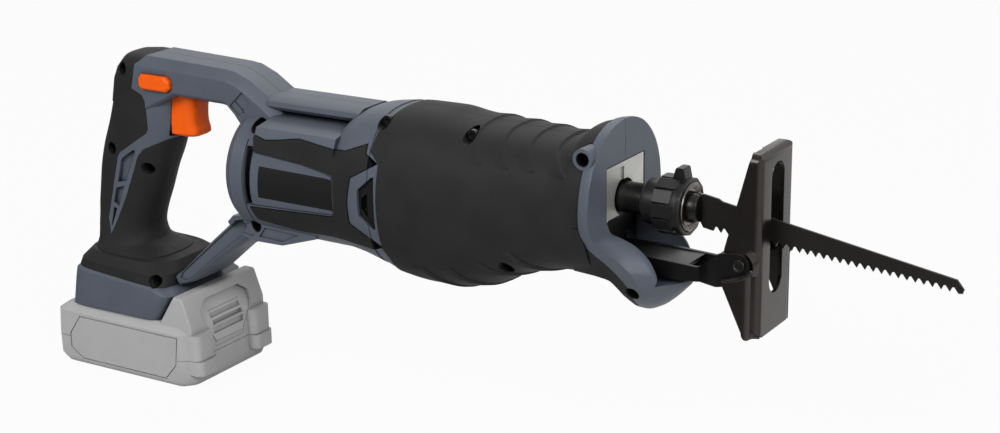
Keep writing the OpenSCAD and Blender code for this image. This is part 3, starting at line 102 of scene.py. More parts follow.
def material(name, colour, rough, metal=0.0, grain=0.0, grain_size=0.5, mottle=0.06, spec=0.5,
             edge=0.5, hollow_shade=0.0, cavity_shade_below=None):
    """Principled material with a little colour and gloss variation, a fine grain, soft edges
    and painted shade, as strong as asked, that darkens holes and grooves. Below a given height it can
    be drawn dark, also as painted shade."""
    m = bpy.data.materials.new(name)
    m.use_nodes = True
    nt = m.node_tree
    where = node(nt, "TexCoord").outputs["Object"]
    cloud = node(nt, "TexNoise", {"Vector": where, "Scale": 60, "Detail": 4})
    ramp = node(nt, "ValToRGB", {"Fac": cloud.outputs["Fac"]})
    for stop, at, k in zip(ramp.color_ramp.elements, (0.3, 0.7), (1 - mottle, 1 + mottle)):
        stop.position = at
        stop.color = [min(1, c * k) for c in srgb(colour)] + [1]
    shade = ramp.outputs["Color"]
    # painted shade: an ambient occlusion node darkens the colour in holes, grooves and creases
    if hollow_shade:
        shade_ao = node(nt, "AmbientOcclusion", {"Distance": PAINTED_SHADE_REACH}, samples=6)
        shade_factor = node(nt, "MapRange", {"Value": shade_ao.outputs["AO"], "From Min": 0.25,
                                         "From Max": 0.8, "To Min": 1 - hollow_shade})
        shade = darkened(nt, shade, shade_factor.outputs["Result"])
    # painted shade: below a height the colour is darkened nearly to black
    if cavity_shade_below is not None:
        height = node(nt, "SeparateXYZ", {0: where})
        above = node(nt, "MapRange", {"Value": height.outputs["Z"], "From Max": cavity_shade_below,
                                      "From Min": cavity_shade_below - 0.2 * mm, "To Min": 0.02})
        shade = darkened(nt, shade, above.outputs["Result"])
    fine = node(nt, "TexNoise", {"Vector": where, "Scale": 1000 / grain_size, "Detail": 3})
    gloss = node(nt, "MapRange", {"Value": fine.outputs["Fac"], "To Min": max(0.02, rough - 0.06),
                                  "To Max": min(1, rough + 0.06)})
    soft = node(nt, "Bevel", {"Radius": edge * mm}, samples=4)
    bump = node(nt, "Bump", {"Height": fine.outputs["Fac"], "Normal": soft.outputs["Normal"],
                             "Strength": grain, "Distance": 0.05 * mm})
    feed(nt, nt.nodes["Principled BSDF"], {
        "Base Color": shade, "Metallic": metal, "Roughness": gloss.outputs["Result"],
        "Specular IOR Level": spec, "Normal": bump.outputs["Normal"]})
    return m


LOOKS = {       # colour, roughness, what differs from the material's defaults
    # several looks below get painted shade darkening their holes and grooves; the die casting also
    # gets painted shade below a height
    "housing": ((81, 87, 98), 0.45, dict(grain=0.25, grain_size=0.35, spec=0.3, hollow_shade=0.8)),
    "rubber": ((38, 38, 38), 0.6, dict(grain=0.6, grain_size=0.4, mottle=0.1, spec=0.14, hollow_shade=0.8)),
    "black_plastic": ((24, 24, 25), 0.36, dict(grain=0.2, spec=0.3, hollow_shade=0.6)),
    "die_cast": ((186, 186, 182), 0.45, dict(metal=0.7, grain=0.8, grain_size=0.7, mottle=0.12,
                                             edge=0.12, hollow_shade=0.6, cavity_shade_below=CAVITY_SHADE_HEIGHT)),
    "bronze": ((170, 130, 80), 0.4, dict(metal=1)),
    "seal": ((24, 24, 24), 0.6, {}),
    "dark_steel": ((44, 43, 42), 0.28, dict(metal=0.8, grain=0.1)),
    "ring_steel": ((104, 96, 90), 0.24, dict(metal=1, edge=0.15)),
    "steel": ((190, 190, 188), 0.3, dict(metal=1, grain=0.1)),
    "blade_steel": ((40, 38, 37), 0.38, dict(metal=0.5, spec=0.3, grain=0.3, grain_size=0.3,
                                             edge=0.15)),
    "gear_steel": ((130, 130, 132), 0.35, dict(metal=1)),
    "can_steel": ((150, 152, 155), 0.35, dict(metal=1)),
    "magnet": ((60, 60, 63), 0.6, {}),
    "lamination": ((120, 95, 80), 0.5, dict(metal=0.6)),
    "carbon": ((35, 35, 36), 0.6, {}),
    "bracket_steel": ((17, 16, 16), 0.32, dict(metal=0.3, spec=0.35)),
    "shoe_steel": ((62, 58, 56), 0.24, dict(metal=0.9, grain=0.05, spec=0.3)),
    "orange": ((238, 92, 8), 0.42, dict(grain=0.2, mottle=0.03, spec=0.18, hollow_shade=0.3)),
    "battery_grey": ((168, 168, 168), 0.45, dict(grain=0.25, grain_size=0.4, mottle=0.03,
                                                 spec=0.2, hollow_shade=0.35)),
    "cell_wrap": ((60, 140, 90), 0.3, {}),
    "contact_brass": ((205, 165, 90), 0.3, dict(metal=1)),
    "latch_grey": ((176, 176, 176), 0.45, dict(grain=0.25, mottle=0.03, spec=0.2, hollow_shade=0.35)),
}
looks = {name: material(name, colour, rough, **more)
         for name, (colour, rough, more) in LOOKS.items()}
slot_of = {s["node"]: s["material_slot"] for s in frame["record"]["subparts"]}
slot_of["housing_screws"] = "dark_steel"


def dress(obj, look, angle):
    """Gives an object its material, and smooth shading but for edges over an angle."""
    obj.data.materials.clear()
    obj.data.materials.append(looks[look])
    obj.data.shade_smooth()
    obj.data.set_sharp_from_angle(angle=math.radians(angle))


for name, obj in frame["nodes"].items():
    dress(obj, slot_of[name], 24)

# ---- building solids, in millimetres ----

FINE = 96           # points round a lofted section
STEP = 2.5          # distance between the sections of a smooth loft
WIDE = 60           # reach of a cut that runs right across the tool, to either side


def curve(xs, ys, at):
    """Values at `at` of a smooth curve through the rows (xs, ys) that never overshoots them."""
    xs, ys = np.asarray(xs, float), np.asarray(ys, float)
    h = np.diff(xs)[:, None]
    d = np.diff(ys, axis=0) / h
    m = np.zeros_like(ys)
    m[0], m[-1] = d[0], d[-1]
    w1, w2 = 2 * h[1:] + h[:-1], h[1:] + 2 * h[:-1]
    with np.errstate(divide="ignore", invalid="ignore"):
        m[1:-1] = np.where(d[:-1] * d[1:] > 0, (w1 + w2) / (w1 / d[:-1] + w2 / d[1:]), 0)
    i = np.clip(np.searchsorted(xs, at, side="right") - 1, 0, len(h) - 1)
    t = ((np.asarray(at) - xs[i]) / h[i, 0])[:, None]
    a, b = (1 + 2 * t) * (1 - t) ** 2, t * (1 - t) ** 2
    c, e = t * t * (3 - 2 * t), t * t * (t - 1)
    return a * ys[i] + b * h[i] * m[i] + c * ys[i + 1] + e * h[i] * m[i + 1]


def pw(v, e):
    """Sines or cosines that draw a circle at e = 2 and a squarer form above it."""
    return np.sign(v) * np.abs(v) ** (2 / e)


def turn(n=FINE):
    """Cosines and sines of n even steps round a circle."""
    t = 2 * math.pi * (np.arange(n) + 0.5) / n
    return np.cos(t), np.sin(t)


def upright(x, zc, hw, top, bot, e, n=FINE):
    """Rounded section across the tool at x."""
    c, s = turn(n)
    s = pw(s, e)
    z = zc + np.where(s > 0, top - zc, zc - bot) * s
    return np.stack([np.full(n, x), hw * pw(c, e), z], 1)


def level(z, rear, front, hw, e, fall=0):
    """Rounded section seen from above at z, lower by fall at its front."""
    c, s = turn()
    c = pw(c, e)
    x = (front + rear) / 2 + (front - rear) / 2 * c
    return np.stack([x, hw * pw(s, e), z - fall * (1 + c) / 2], 1)


def slant(lo, hi, hw, e):
    """Rounded section that stands on the line from lo to hi of the side view."""
    c, s = turn()
    s = (1 + pw(s, e)) / 2
    return np.stack([lo[0] + (hi[0] - lo[0]) * s, hw * pw(c, e),
                     lo[1] + (hi[1] - lo[1]) * s], 1)


def rows_of(section, *rows):
    """Sections of one kind, each from its row of numbers."""
    return [section(*row) for row in rows]


def mesh_of(verts, faces):
    """Object of corners and faces, with its normals turned outwards."""
    data = bpy.data.meshes.new("solid")
    data.from_pydata([tuple(v) for v in verts], [], faces)
    bm = bmesh.new()
    bm.from_mesh(data)
    bmesh.ops.recalc_face_normals(bm, faces=bm.faces)
    bm.to_mesh(data)
    bm.free()
    return placed("solid", data)


def tube(rings):
    """Closed solid through rings of points, straight from one to the next."""
    rows, n = len(rings), len(rings[0])
    k = np.arange(n)
    q = (k + 1) % n
    faces = [list(range(n)), list(range((rows - 1) * n, rows * n))]
    for j in range(rows - 1):
        faces += np.stack([j * n + k, j * n + q, (j + 1) * n + q, (j + 1) * n + k],
                          1).tolist()
    return mesh_of(np.concatenate(rings), faces)


def loft(rings):
    """Solid through sections, smooth from one to the next."""
    rings = np.stack(rings)
    away = np.linalg.norm(np.diff(rings, axis=0), axis=2).mean(1)
    s = np.concatenate([[0], np.cumsum(away)])
    at = np.concatenate([np.linspace(a, b, max(2, int((b - a) / STEP) + 1))[:-1]
                         for a, b in zip(s[:-1], s[1:])] + [[s[-1]]])
    flat = curve(s, rings.reshape(len(rings), -1), at)
    return tube(list(flat.reshape(len(at), -1, 3)))


def prism(outline, a, b, along):
    """Bar of an outline. along 0: front view, from x = a to b. 1: side view. 2: from above."""
    n = len(outline)
    verts = [(*p[:along], d, *p[along:]) for d in (a, b) for p in outline]
    faces = [list(range(n)), list(range(n, 2 * n))]
    faces += [(k, (k + 1) % n, n + (k + 1) % n, n + k) for k in range(n)]
    return mesh_of(verts, faces)


def front_bar(outline, x0, x1):
    return prism(outline, x0, x1, 0)


def side_plate(outline, y0, y1):
    return prism(outline, y0, y1, 1)


def plan_plate(outline, z0, z1):
    return prism(outline, z0, z1, 2)


def across(outline):
    return side_plate(outline, -WIDE, WIDE)


def plates(outline, near, far):
    """Side plates from near to far of the middle plane, one on each side."""
    return [side_plate(outline, -far, -near), side_plate(outline, near, far)]


def even(half):
    """The whole outline of a front view, from the half on one side."""
    return [(-y, z) for y, z in half] + half[::-1]


def block(lo, hi):
    (x0, y0, z0), (x1, y1, z1) = lo, hi
    return plan_plate([(x0, y0), (x1, y0), (x1, y1), (x0, y1)], z0, z1)


def arc(centre, r, start, end, n=8):
    """Points of an arc, its angles in degrees."""
    return [(centre[0] + r * math.cos(a), centre[1] + r * math.sin(a))
            for a in np.radians(np.linspace(start, end, n))]


def circle(r, n, at=(0, 0)):
    return arc(at, r, 0, 360, n + 1)[:-1]


def rod_x(r, x0, x1, z=0, n=96):
    return front_bar(circle(r, n, (0, z)), x0, x1)


def rod_y(r, x, z, y0, y1, n=48):
    return side_plate(circle(r, n, (x, z)), y0, y1)


def spun(profile, n=96):
    """Solid of revolution round the X axis through a closed outline of (x, radius)."""
    verts, faces, m = [], [], len(profile)
    for i in range(n):
        a = 2 * math.pi * i / n
        verts += [(x, r * math.cos(a), r * math.sin(a)) for x, r in profile]
    for i in range(n):
        j = (i + 1) % n
        faces += [(i * m + k, i * m + (k + 1) % m, j * m + (k + 1) % m, j * m + k)
                  for k in range(m)]
    return mesh_of(verts, faces)


def operate(a, others, how):
    """Changes a by one boolean after another. The other solids are used up."""
    for b in others:
        mod = a.modifiers.new("op", "BOOLEAN")
        mod.operation = how
        mod.solver = "MANIFOLD"
        mod.object = b
        bpy.context.view_layer.update()
        graph = bpy.context.evaluated_depsgraph_get()
        data = bpy.data.meshes.new_from_object(a.evaluated_get(graph))
        a.modifiers.clear()
        old, a.data = a.data, data
        bpy.data.meshes.remove(old)
        scrap(b)
    return a


def scrap(obj):
    data = obj.data
    bpy.data.objects.remove(obj)
    if data.users == 0:
        bpy.data.meshes.remove(data)


def cut(a, *others):
    return operate(a, others, "DIFFERENCE")


def join(a, *others):
    return operate(a, others, "UNION")


def keep(a, *others):
    return operate(a, others, "INTERSECT")


def copy(obj):
    return placed("solid", obj.data.copy())


def piece(obj, name, body, look, replaces=None, angle=30):
    """Finishes a solid: metres, shading, material, body, and the CAD node it stands for."""
    obj.data.transform(Matrix.Scale(mm, 4))
    obj.name = obj.data.name = name
    for p in obj.data.polygons:
        p.material_index = 0
    dress(obj, look, angle)
    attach(obj, body)
    if replaces:
        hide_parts(replaces)


# ---- main sizes ----

WALL, SLEEVE, GRIP = 3.0, 3.0, 2.5
BARREL_R, BARREL_Z = 36.5, -15.0
BARREL_REAR, BARREL_FRONT, SLEEVE_REAR = -230.0, -163.0, -134.0
ARM_HW, FOOT_HW, NOSE_HW, MOUTH_HW = 17.5, 34.5, 39.5, 19.6
FOOT_REAR, FOOT_FRONT, FOOT_Z, SKIRT_Z, SKIRT_FALL = -363.5, -282.0, -111.3, -87.0, 5.0
PLATE_HW, PLATE_TOP, PLATE_BOT = 19.6, 19.0, -8.9
HOLE_R, HOLE_DEPTH, BORE_R, PILOT_R, BOSS_R, NOSE_BOSS_R = 3.75, 8.0, 2.05, 1.9, 4.8, 5.6
SEAM, GAP = 0.09, 0.3

# screws: place in the side view, distance of the hole's rim from the middle plane
NOSE_BOSS = (-6.5, 26.5)
SCREWS = {
    "nose": (NOSE_BOSS, 24), "chin": ((16, -43.2), 13), "shoulder": ((-132, 28), 27),
    "arm_root": ((-219.6, 14.5), 13), "keel": ((-223, -44), 14), "grip_low": ((-55, -39.3), 22),
    "grip_top": ((-78.5, 27), 27), "arm_head": ((-323, 34.5), 10), "spine": ((-336, -15.5), 8),
    "handle": ((-311, -25), 8.5), "foot": ((-296.3, -88), 22)}

# rows of the front grip: x, widest height, half width, top, bottom, squareness
GRIP_ROWS = [
    (-134, -13, 40, 33.2, -55.5, 2.5), (-124, -14, 40.4, 34, -59.3, 2.5),
    (-105, -14, 40.5, 34.2, -61.3, 2.5), (-90, -13, 40, 32.2, -60.7, 2.5),
    (-71, -10, 39, 31, -56.6, 2.5), (-53, -7, 37.6, 30.2, -47.9, 2.5),
    (-44, -5, 37, 29.6, -45, 2.5), (-28, -4, 36.6, 29, -41.3, 2.4),
    (-20, -4, 36.8, 32.4, -40.6, 2.4), (-14, -3, 37.2, 36.9, -40.8, 2.3),
    (-6, -3, 37.6, 39.4, -42, 2.2)]
BAND_FRONTS = (-76.4, -60.2, -44.6, -28.8)      # front edges of the raised bands, at the seam
LIP_CORNERS = (-103, -85.6, -67.3, -49.3)       # corners of the lips under the grip
BAND, LIP_TURN, LIP_END = 8.8, 22, 33.6         # length of a band; where a lip turns and ends
GRIP_FRONT = -4.0


def relief(x, y, z):
    """How far the grip's bands and lips stand out at a point of its skin."""
    ay = abs(y)
    out = 0.0
    if z > 12:
        edge = 10 * (ay / 32) ** 4
        rise = min(1, max(0, (z - 15.4) / 0.9))
        for front in BAND_FRONTS:
            t = (x - (front + edge - BAND)) / BAND
            if 0 < t < 1:
                out = max(out, t * rise)
            elif 1 <= t < 1.1:
                out = max(out, (1.1 - t) / 0.1 * rise)
    elif z < -26 and ay <= LIP_END:
        for corner in LIP_CORNERS:
            back = corner - x + (1.08 * (LIP_END - ay) if ay > LIP_TURN
                                 else 12.5 + 0.5 * (LIP_TURN - ay))
            if -1 < back <= 0:
                out -= 0.9 * (1 + back)
            elif 0 < back < 0.9:
                out += -0.9 + 1.9 * back / 0.9
            elif 0.9 <= back < 11:
                out += 1 - (back - 0.9) / 10.1
    return out


def grip_loft(inset, front=GRIP_FRONT, with_relief=False, step=STEP, n=FINE):
    """Body of the front grip, smaller by inset all round."""
    rows = np.array(GRIP_ROWS)
    rows[-1, 0] = front
    x = np.arange(rows[0, 0], rows[-1, 0], step)
    x = np.append(x, rows[-1, 0])
    rings = []
    for r in curve(rows[:, 0], rows, x):
        ring = upright(r[0], r[1], r[2] - inset, r[3] - inset, r[4] + inset, r[5], n)
        if with_relief:
            out = np.array([relief(*p) for p in ring])
            away = ring - np.array([r[0], 0, r[1]])
            away /= np.linalg.norm(away, axis=1)[:, None]
            ring = ring + away * out[:, None]
        rings.append(ring)
    return tube(rings)


# side views of the nose: at the middle, at the mouth's edge, further out, at the rim
NOSE_MID = [(2.5, -13.8), (9, -15.6), (16, -18.2), (21.8, -22), (25.8, -27), (31, -33.5),
            (38.7, -38.6), (38.2, -40.6), (35, -44.2), (29.3, -49.8), (22.9, -54.6), (16.5, -57),
            (10.5, -56.8), (6.8, -53.5), (5.4, -48), (3, -43.6), (-5, -42.6), (-18, -41.4)]
NOSE_EDGE = [(2.5, -14), (9, -15.8), (16, -18.4), (21.8, -22.4), (25.8, -27), (28.4, -32.3),
             (28.8, -34.2), (28.2, -36.5), (26.6, -40), (24.3, -43.8), (21.5, -47.2), (18, -49.2),
             (14, -48.6), (10.5, -46.6), (7.8, -42.8), (4.6, -39.2), (-5, -38.2), (-18, -37.4)]
NOSE_OUT = [(1.2, -13.5), (5.6, -16.8), (10, -19.6), (13.8, -23.2), (16.6, -27), (18.2, -30),
            (18.4, -32), (18, -34), (17.2, -36), (16, -38), (14.5, -39.4), (13, -40), (11, -40),
            (9, -39.4), (7, -38), (4, -35.5), (-5, -34), (-18, -33)]
NOSE_RIM = [(0.2, -11.4), (2, -14.6), (4.6, -17), (6.6, -20), (8, -23.6), (9, -27), (9.4, -30),
            (9.2, -32), (8.8, -34), (8, -36), (7, -37.4), (6, -38), (5, -38), (4, -37.4), (3, -36),
            (1, -33.5), (-5, -32), (-18, -31)]
NOSE_FRONT = [(0, 41), (8, 40.2), (16, 37.7), (22.5, 34), (28.5, 28.7), (33, 23), (36.5, 16),
              (38.6, 8.5), (39.5, 0), (38.8, -7), (37, -13.5), (34.6, -18.5), (32, -24),
              (29.6, -29.5), (27, -35), (23.8, -40), (20, -45.5), (15, -50.5), (8, -55.3),
              (0, -57.4)]


def nose_profile():
    """The nose as its side views give it, smooth from one distance to the next."""
    ys = np.array([-NOSE_HW - 1, -30, -MOUTH_HW, 0, MOUTH_HW, 30, NOSE_HW + 1])
    views = (NOSE_RIM, NOSE_OUT, NOSE_EDGE, NOSE_MID, NOSE_EDGE, NOSE_OUT, NOSE_RIM)
    rows = np.array([[(0, 46), (0, -9)] + view + [(-18, 46)] for view in views], float)
    at = np.unique(np.concatenate([np.linspace(-NOSE_HW - 1, NOSE_HW + 1, 61), ys]))
    slices = curve(ys, rows.reshape(7, -1), at).reshape(len(at), -1, 2)
    k = np.arange(1, 19)
    fine = np.linspace(1, 18, 86)
    rings = []
    for y, s in zip(at, slices):
        bend = curve(k, s[1:19], fine)
        outline = np.concatenate([s[:1], bend, s[19:]])
        rings.append(np.stack([outline[:, 0], np.full(len(outline), y), outline[:, 1]], 1))
    return tube(rings)


def nose_outline(inset):
    """Front view of the nose, its edge smooth."""
    pts = np.array(NOSE_FRONT, float)
    pts = curve(np.arange(len(pts)), pts, np.linspace(0, len(pts) - 1, 77))
    k = (NOSE_HW - inset) / NOSE_HW
    right = [(y * k, z - math.copysign(inset, z + 8)) for y, z in pts]
    return right + [(-y, z) for y, z in right[-2:0:-1]]


def nose_solid():
    rings = [np.array([(x, y, z) for y, z in nose_outline(i)])
             for x, i in ((-18, 3), (-1.8, 0), (48, 0))]
    return join(keep(nose_profile(), tube(rings)), rod_y(NOSE_BOSS_R, *NOSE_BOSS, -33, 0))


RUBBER_ZONE = [(-6, 50), (-6, -8), (-5.6, -13), (-3.6, -18.4), (1.2, -23), (6, -27),
               (10.2, -31.6), (13.2, -36.4), (14.6, -40), (14.6, -70), (-140, -70), (-140, 50)]


def behind_band(grow=0):
    return across([(x + grow, z + grow) for x, z in RUBBER_ZONE])


def chin_core(grow):
    """Hard core of the chin, under its rubber."""
    core = nose_profile()
    core.data.transform(Matrix.Translation((SLEEVE, 0, 1.4)))
    return keep(core, front_bar(nose_outline(SLEEVE), -14, 46), behind_band(grow),
                block((-60, -WIDE, -90), (60, WIDE, -6)))


def posts_at(names, r, reach=WIDE):
    """Round bars across the tool at some of the screws."""
    return [rod_y(r, *SCREWS[name][0], -reach, reach) for name in names]


def barrel_loft(inset):
    r, z, x = BARREL_R - inset, BARREL_Z, BARREL_REAR
    return tube(rows_of(
        upright, (x - 8 + inset, z, r - 10, z + r - 10, z - r + 10, 2),
        (x - 5 + inset, z, r - 3, z + r - 3, z - r + 3, 2), (x + inset, z, r, z + r, z - r, 2),
        (BARREL_FRONT, z, r, z + r, z - r - 0.5, 2.05),
        (SLEEVE_REAR - 8, z, r + 1.2, z + r + 4, z - r - 1.5, 2.2)))


def shoulder(s):
    """Ledge along the barrel and the swelling towards the grip, smaller by s."""
    ledge = front_bar(even([(36 - s, -16), (33.5 - s, 12), (31.5 - s, 16.8 - s), (13, 20 - s)]),
                      BARREL_REAR + 17 + s, BARREL_FRONT + 4)
    collar = loft([upright(x, -13, hw - s, top - s, low + s, 2.5) for x, hw, top, low in (
        (BARREL_FRONT - 2, 35.5, 20, -50), (BARREL_FRONT + 6, 37, 27.5, -50.6),
        (BARREL_FRONT + 14, 38.5, 30.9, -51.6), (SLEEVE_REAR, 40, 33.2, -55.5))])
    return join(ledge, collar)


def top_bar():
    rear, front = -218, BARREL_FRONT + 8
    bar = front_bar(even([(13.5, 22.4), (15.4, 24.6), (14.8, 27.3), (10, 29.4)]), rear, front)
    return join(bar, block((rear, -7, 19), (front, 7, 23)))


def slab(lo, hi, hw, over=5.2, under=2.2):
    """Flat-sided section on the line from lo to hi of the side view, its corners bevelled."""
    lo, hi = np.array(lo, float), np.array(hi, float)
    length = np.linalg.norm(hi - lo)
    way = (hi - lo) / length
    corners = [(hw, under), (hw, length - over), (hw - over, length), (over - hw, length),
               (-hw, length - over), (-hw, under), (under - hw, 0), (hw - under, 0)]
    ring = []
    for i, c in enumerate(corners):
        a, b, c = (np.array(p, float) for p in (corners[i - 1], corners[(i + 1) % 8], c))
        a, b = (c + (p - c) * 0.7 / np.linalg.norm(p - c) for p in (a, b))
        for t in (0, 0.25, 0.5, 0.75, 1):
            ring.append((1 - t) ** 2 * a + 2 * t * (1 - t) * c + t * t * b)
    return np.array([(lo[0] + way[0] * s, y, lo[1] + way[1] * s) for y, s in ring])


def arm():
    """Upper part of the tool, from the handle down to the barrel."""
    lines = [((-329, 0), (-329, 42)), ((-315, 6), (-315, 43.4)), ((-284, 22.2), (-284, 42.5)),
             ((-249.5, 21.6), (-249.5, 41.4)), ((-246.5, 21.2), (-242, 40.6)),
             ((-241.5, 16.5), (-231.5, 36.4)), ((-237.5, 11.5), (-217.5, 27.5)),
             ((-238, 6), (-209.5, 21))]
    return tube([slab(lo, hi, ARM_HW) for lo, hi in lines]
                + [slab((-238, -4), (-205, 12), ARM_HW + 0.5)])


KEEL = [(-247, -46.2), (-243.4, -49.6), (-223.4, -53.1), (-204.6, -52.8), (-181, -45.4),
        (-181, -38), (-225, -38), (-241, -41)]
KEEL_FIELDS = [[(-242.4, -48.6), (-234.4, -43.6), (-223.4, -42.8), (-221.4, -44.4),
                (-225.2, -50.6)],
               [(-221.2, -50.2), (-217, -44.3), (-193.2, -45.1), (-204.8, -50.6)]]


def keel():
    """Thicker part under the motor that the brace runs into."""
    return cut(side_plate(KEEL, -24, 24),
               *[plan_plate([(-260, s * 15), (-260, s * 30), (-230, s * 30), (-236, s * 24)],
                            -60, -30) for s in (-1, 1)])


def brace(k=0):
    """Strut from the keel down to the foot. Its lower part is slimmer by k."""
    strut = [((-286, -93), (-290, -85.5), 20), ((-277, -88.8), (-286, -83), 20),
             ((-256, -71), (-263.5, -61.5), 19), ((-230, -53.5), (-240, -40.5), 18.5),
             ((-209, -56.5), (-228, -20), 18.5)]
    root = [((-230, -53.5), (-232, -30)), ((-212, -56.8), (-212, -30)),
            ((-197, -51.5), (-197, -30))]
    return join(tube([slant(lo, hi, hw - k, 5) for lo, hi, hw in strut]),
                tube([slant(lo, hi, 18.5, 5) for lo, hi in root]))


# level sections of the handle: z, rear, front, half width, squareness
HANDLE_ROWS = [(32, -335.6, -290, 16.5, 2.6), (16, -339, -291, 17.5, 2.6),
               (0, -344.3, -293, 17.5, 2.5), (-14, -349.8, -297.5, 17.2, 2.5),
               (-28, -354.3, -303.5, 17, 2.3), (-42, -356.4, -309, 17, 2.3),
               (-56, -358, -315, 17, 2.3), (-66, -358, -318, 18, 2.4),
               (-73, -357.4, -317, 19.8, 2.5), (-79, -357.8, -303, 25, 2.8)]


def handle_loft(k):
    return loft([level(z, rear + k, front - k, hw - k, e)
                 for z, rear, front, hw, e in HANDLE_ROWS])


def skirt_loft(k):
    return tube([level(z, rear + k, front - k, FOOT_HW - inset - k, e, fall)
                 for z, rear, front, inset, e, fall in (
                     (-78, -357.6, -294, 7.5, 3.4, 1.5), (-82.5, -358.9, -289.6, 2.6, 5.5, 2.5),
                     (SKIRT_Z - 3, -360.1, -288.8, 1.2, 7.5, SKIRT_FALL))])


def foot():
    return tube([level(z, FOOT_REAR + rear, FOOT_FRONT + front, FOOT_HW - inset, e, fall)
                 for z, rear, front, inset, e, fall in (
                     (FOOT_Z, 0, -10.5, 0, 9, 0), (FOOT_Z + 16, 2.6, 0.5, 0, 9, 0),
                     (SKIRT_Z - 1.5, 3.4, -3.5, 0.3, 8, SKIRT_FALL),
                     (SKIRT_Z, 5, -6, 1.8, 8, SKIRT_FALL))])


SPINE = [(-294, 48), (-307, 43.4), (-312.2, 38.6), (-315.8, 23.7), (-308.3, 20.4),
         (-306.3, 17), (-306.3, -0.4), (-308, -3), (-329, -16.9), (-331, -19.5), (-342, -59),
         (-339.6, -68.8), (-327, -44), (-315.8, -18), (-311.4, -13.1), (-297, -6.4),
         (-280, -3.2), (-250, 0), (-200, 20), (-200, 48)]


def arm_head(k):
    """Rounded corner of the handle and the arm."""
    w = ARM_HW
    dome = tube([level(z, rear + k, -300, w - inset - k, 2.8) for z, rear, inset in (
        (13, -339.6, 0.5), (27, -336.6, 0.5), (34, -333.5, 1.2), (38.6 - k / 2, -329.8, 2.8),
        (41.8 - k, -322.5, 6.5))])
    return join(dome, tube(rows_of(
        upright, (-324, 28, w - 0.2 - k, 42.7 - k, 6 + k, 3.2),
        (-315, 33, w - k, 43.4 - k, 6 + k, 3.4), (-290, 33.5, w - k, 42.7 - k, 18 + k, 3.8))))


SLEEVE_EDGE = [(-125.4, 60), (-125.4, 40.5), (-132.4, 25.5), (-133.6, 14.2), (-127.3, 8.7),
               (-128.1, -12.4), (-127.2, -38.6), (-124.5, -44), (-124.5, -80), (-150, -80),
               (-150, 60)]


def housing_outer():
    """The whole housing outside, both halves."""
    return join(
        grip_loft(SLEEVE), keep(grip_loft(0.5, -6.0), across(SLEEVE_EDGE)),
        cut(nose_solid(), behind_band()), chin_core(1.5),
        rod_y(NOSE_BOSS_R, *NOSE_BOSS, -32.9, 0), barrel_loft(0), shoulder(0), top_bar(), keel(),
        keep(arm(), block((-294, -40, -40), (-174, 40, 80))),
        handle_loft(GRIP), skirt_loft(GRIP), arm_head(GRIP),
        keep(join(handle_loft(0), arm()), across(SPINE)), foot(), brace())


# ---- side details ----

COVER = [(-217, 4), (-212.8, 12.6), (-205.4, 10.6), (-195, 12), (-183, 14), (-158, 11.2),
         (-151.5, 11.7), (-136.5, 17.5), (-136.4, 12.8), (-128.6, 8.6), (-145.6, -1),
         (-148, -14.5), (-147.4, -27), (-127.2, -37.8), (-134.2, -40.4), (-155.7, -39.9),
         (-190, -41), (-216.9, -37.6), (-218.4, -29.4), (-161.2, -26.2), (-158.6, -24.6),
         (-158.2, -4.8), (-159.4, -2.4), (-180.6, 1.0), (-214, 3.6)]
PANEL = [(-215.6, 3), (-180.6, 0.2), (-160.2, -3.2), (-159.2, -5.2), (-159.6, -24.2),
         (-161.2, -25), (-216.2, -27.6)]
LABEL = [(-209.6, -4.6), (-210.4, -22.1), (-160, -22.3), (-159.8, -5.2)]
VENT = [(-140.6, -7), (-131.8, 0.8), (-129.8, 1.6), (-129.5, -27), (-131, -27.8),
        (-140.2, -21.4), (-140.8, -15)]
VENT_SLOT = [(-139.6, -12), (-135.6, -8.8), (-135.4, -22.6), (-139.6, -18.2)]
WINDOWS = [[(-328.5, -20.9), (-318.5, -14), (-316.9, -14.4), (-325.8, -34.1), (-332.3, -35.6)],
           [(-334.3, -39.6), (-327.7, -37.4), (-333, -50.7), (-336.7, -48.7)],
           [(-337.1, -51.9), (-334.7, -52.2), (-339, -63.5), (-339.8, -63.6)]]
ARM_FIELD = [(-242.9, 22.2), (-233.8, 30.8), (-228, 25.1), (-236.6, 16.8)]
ARM_LINE = [(-239.6, 24.4), (-238.9, 25.1), (-232.4, 19.4), (-233.1, 18.7)]
BRACE_FIELD = [(-285.6, -86.9), (-282.9, -88.2), (-277.5, -86.2), (-257, -68.4), (-234.5, -51.2),
               (-230, -46), (-232.5, -41.5), (-239.5, -43.8), (-262.6, -64), (-284.6, -83.9)]
LOCK = [(-308.2, 26.5), (-306, 24.6), (-288, 24.6), (-285.2, 27), (-285.2, 31), (-288, 33.6),
        (-306, 33.6), (-308.2, 31)]


def grown(outline, by):
    """The outline moved outwards by a distance, straight corners kept."""
    p = np.array(outline, float)
    area = sum(a[0] * b[1] - b[0] * a[1] for a, b in zip(p, np.roll(p, -1, 0)))
    turned = 1 if area > 0 else -1
    out = []
    for i in range(len(p)):
        a, b, c = p[i - 1], p[i], p[(i + 1) % len(p)]
        u, v = (b - a) / np.linalg.norm(b - a), (c - b) / np.linalg.norm(c - b)
        n1, n2 = np.array([u[1], -u[0]]) * turned, np.array([v[1], -v[0]]) * turned
        m = n1 + n2
        out.append(tuple(b + by * m / max(0.25, m @ m / 2)))
    return out


def skin_inner(depth):
    return join(barrel_loft(depth), shoulder(depth))


def shell(outline, depth, proud=None):
    """The motor housing's skin inside an outline on both sides, from depth up to proud of it."""
    whole = across(outline)
    if proud is not None:
        keep(whole, skin_inner(-proud))
    return cut(whole, skin_inner(depth), block((-300, -18, -100), (0, 18, 100)))


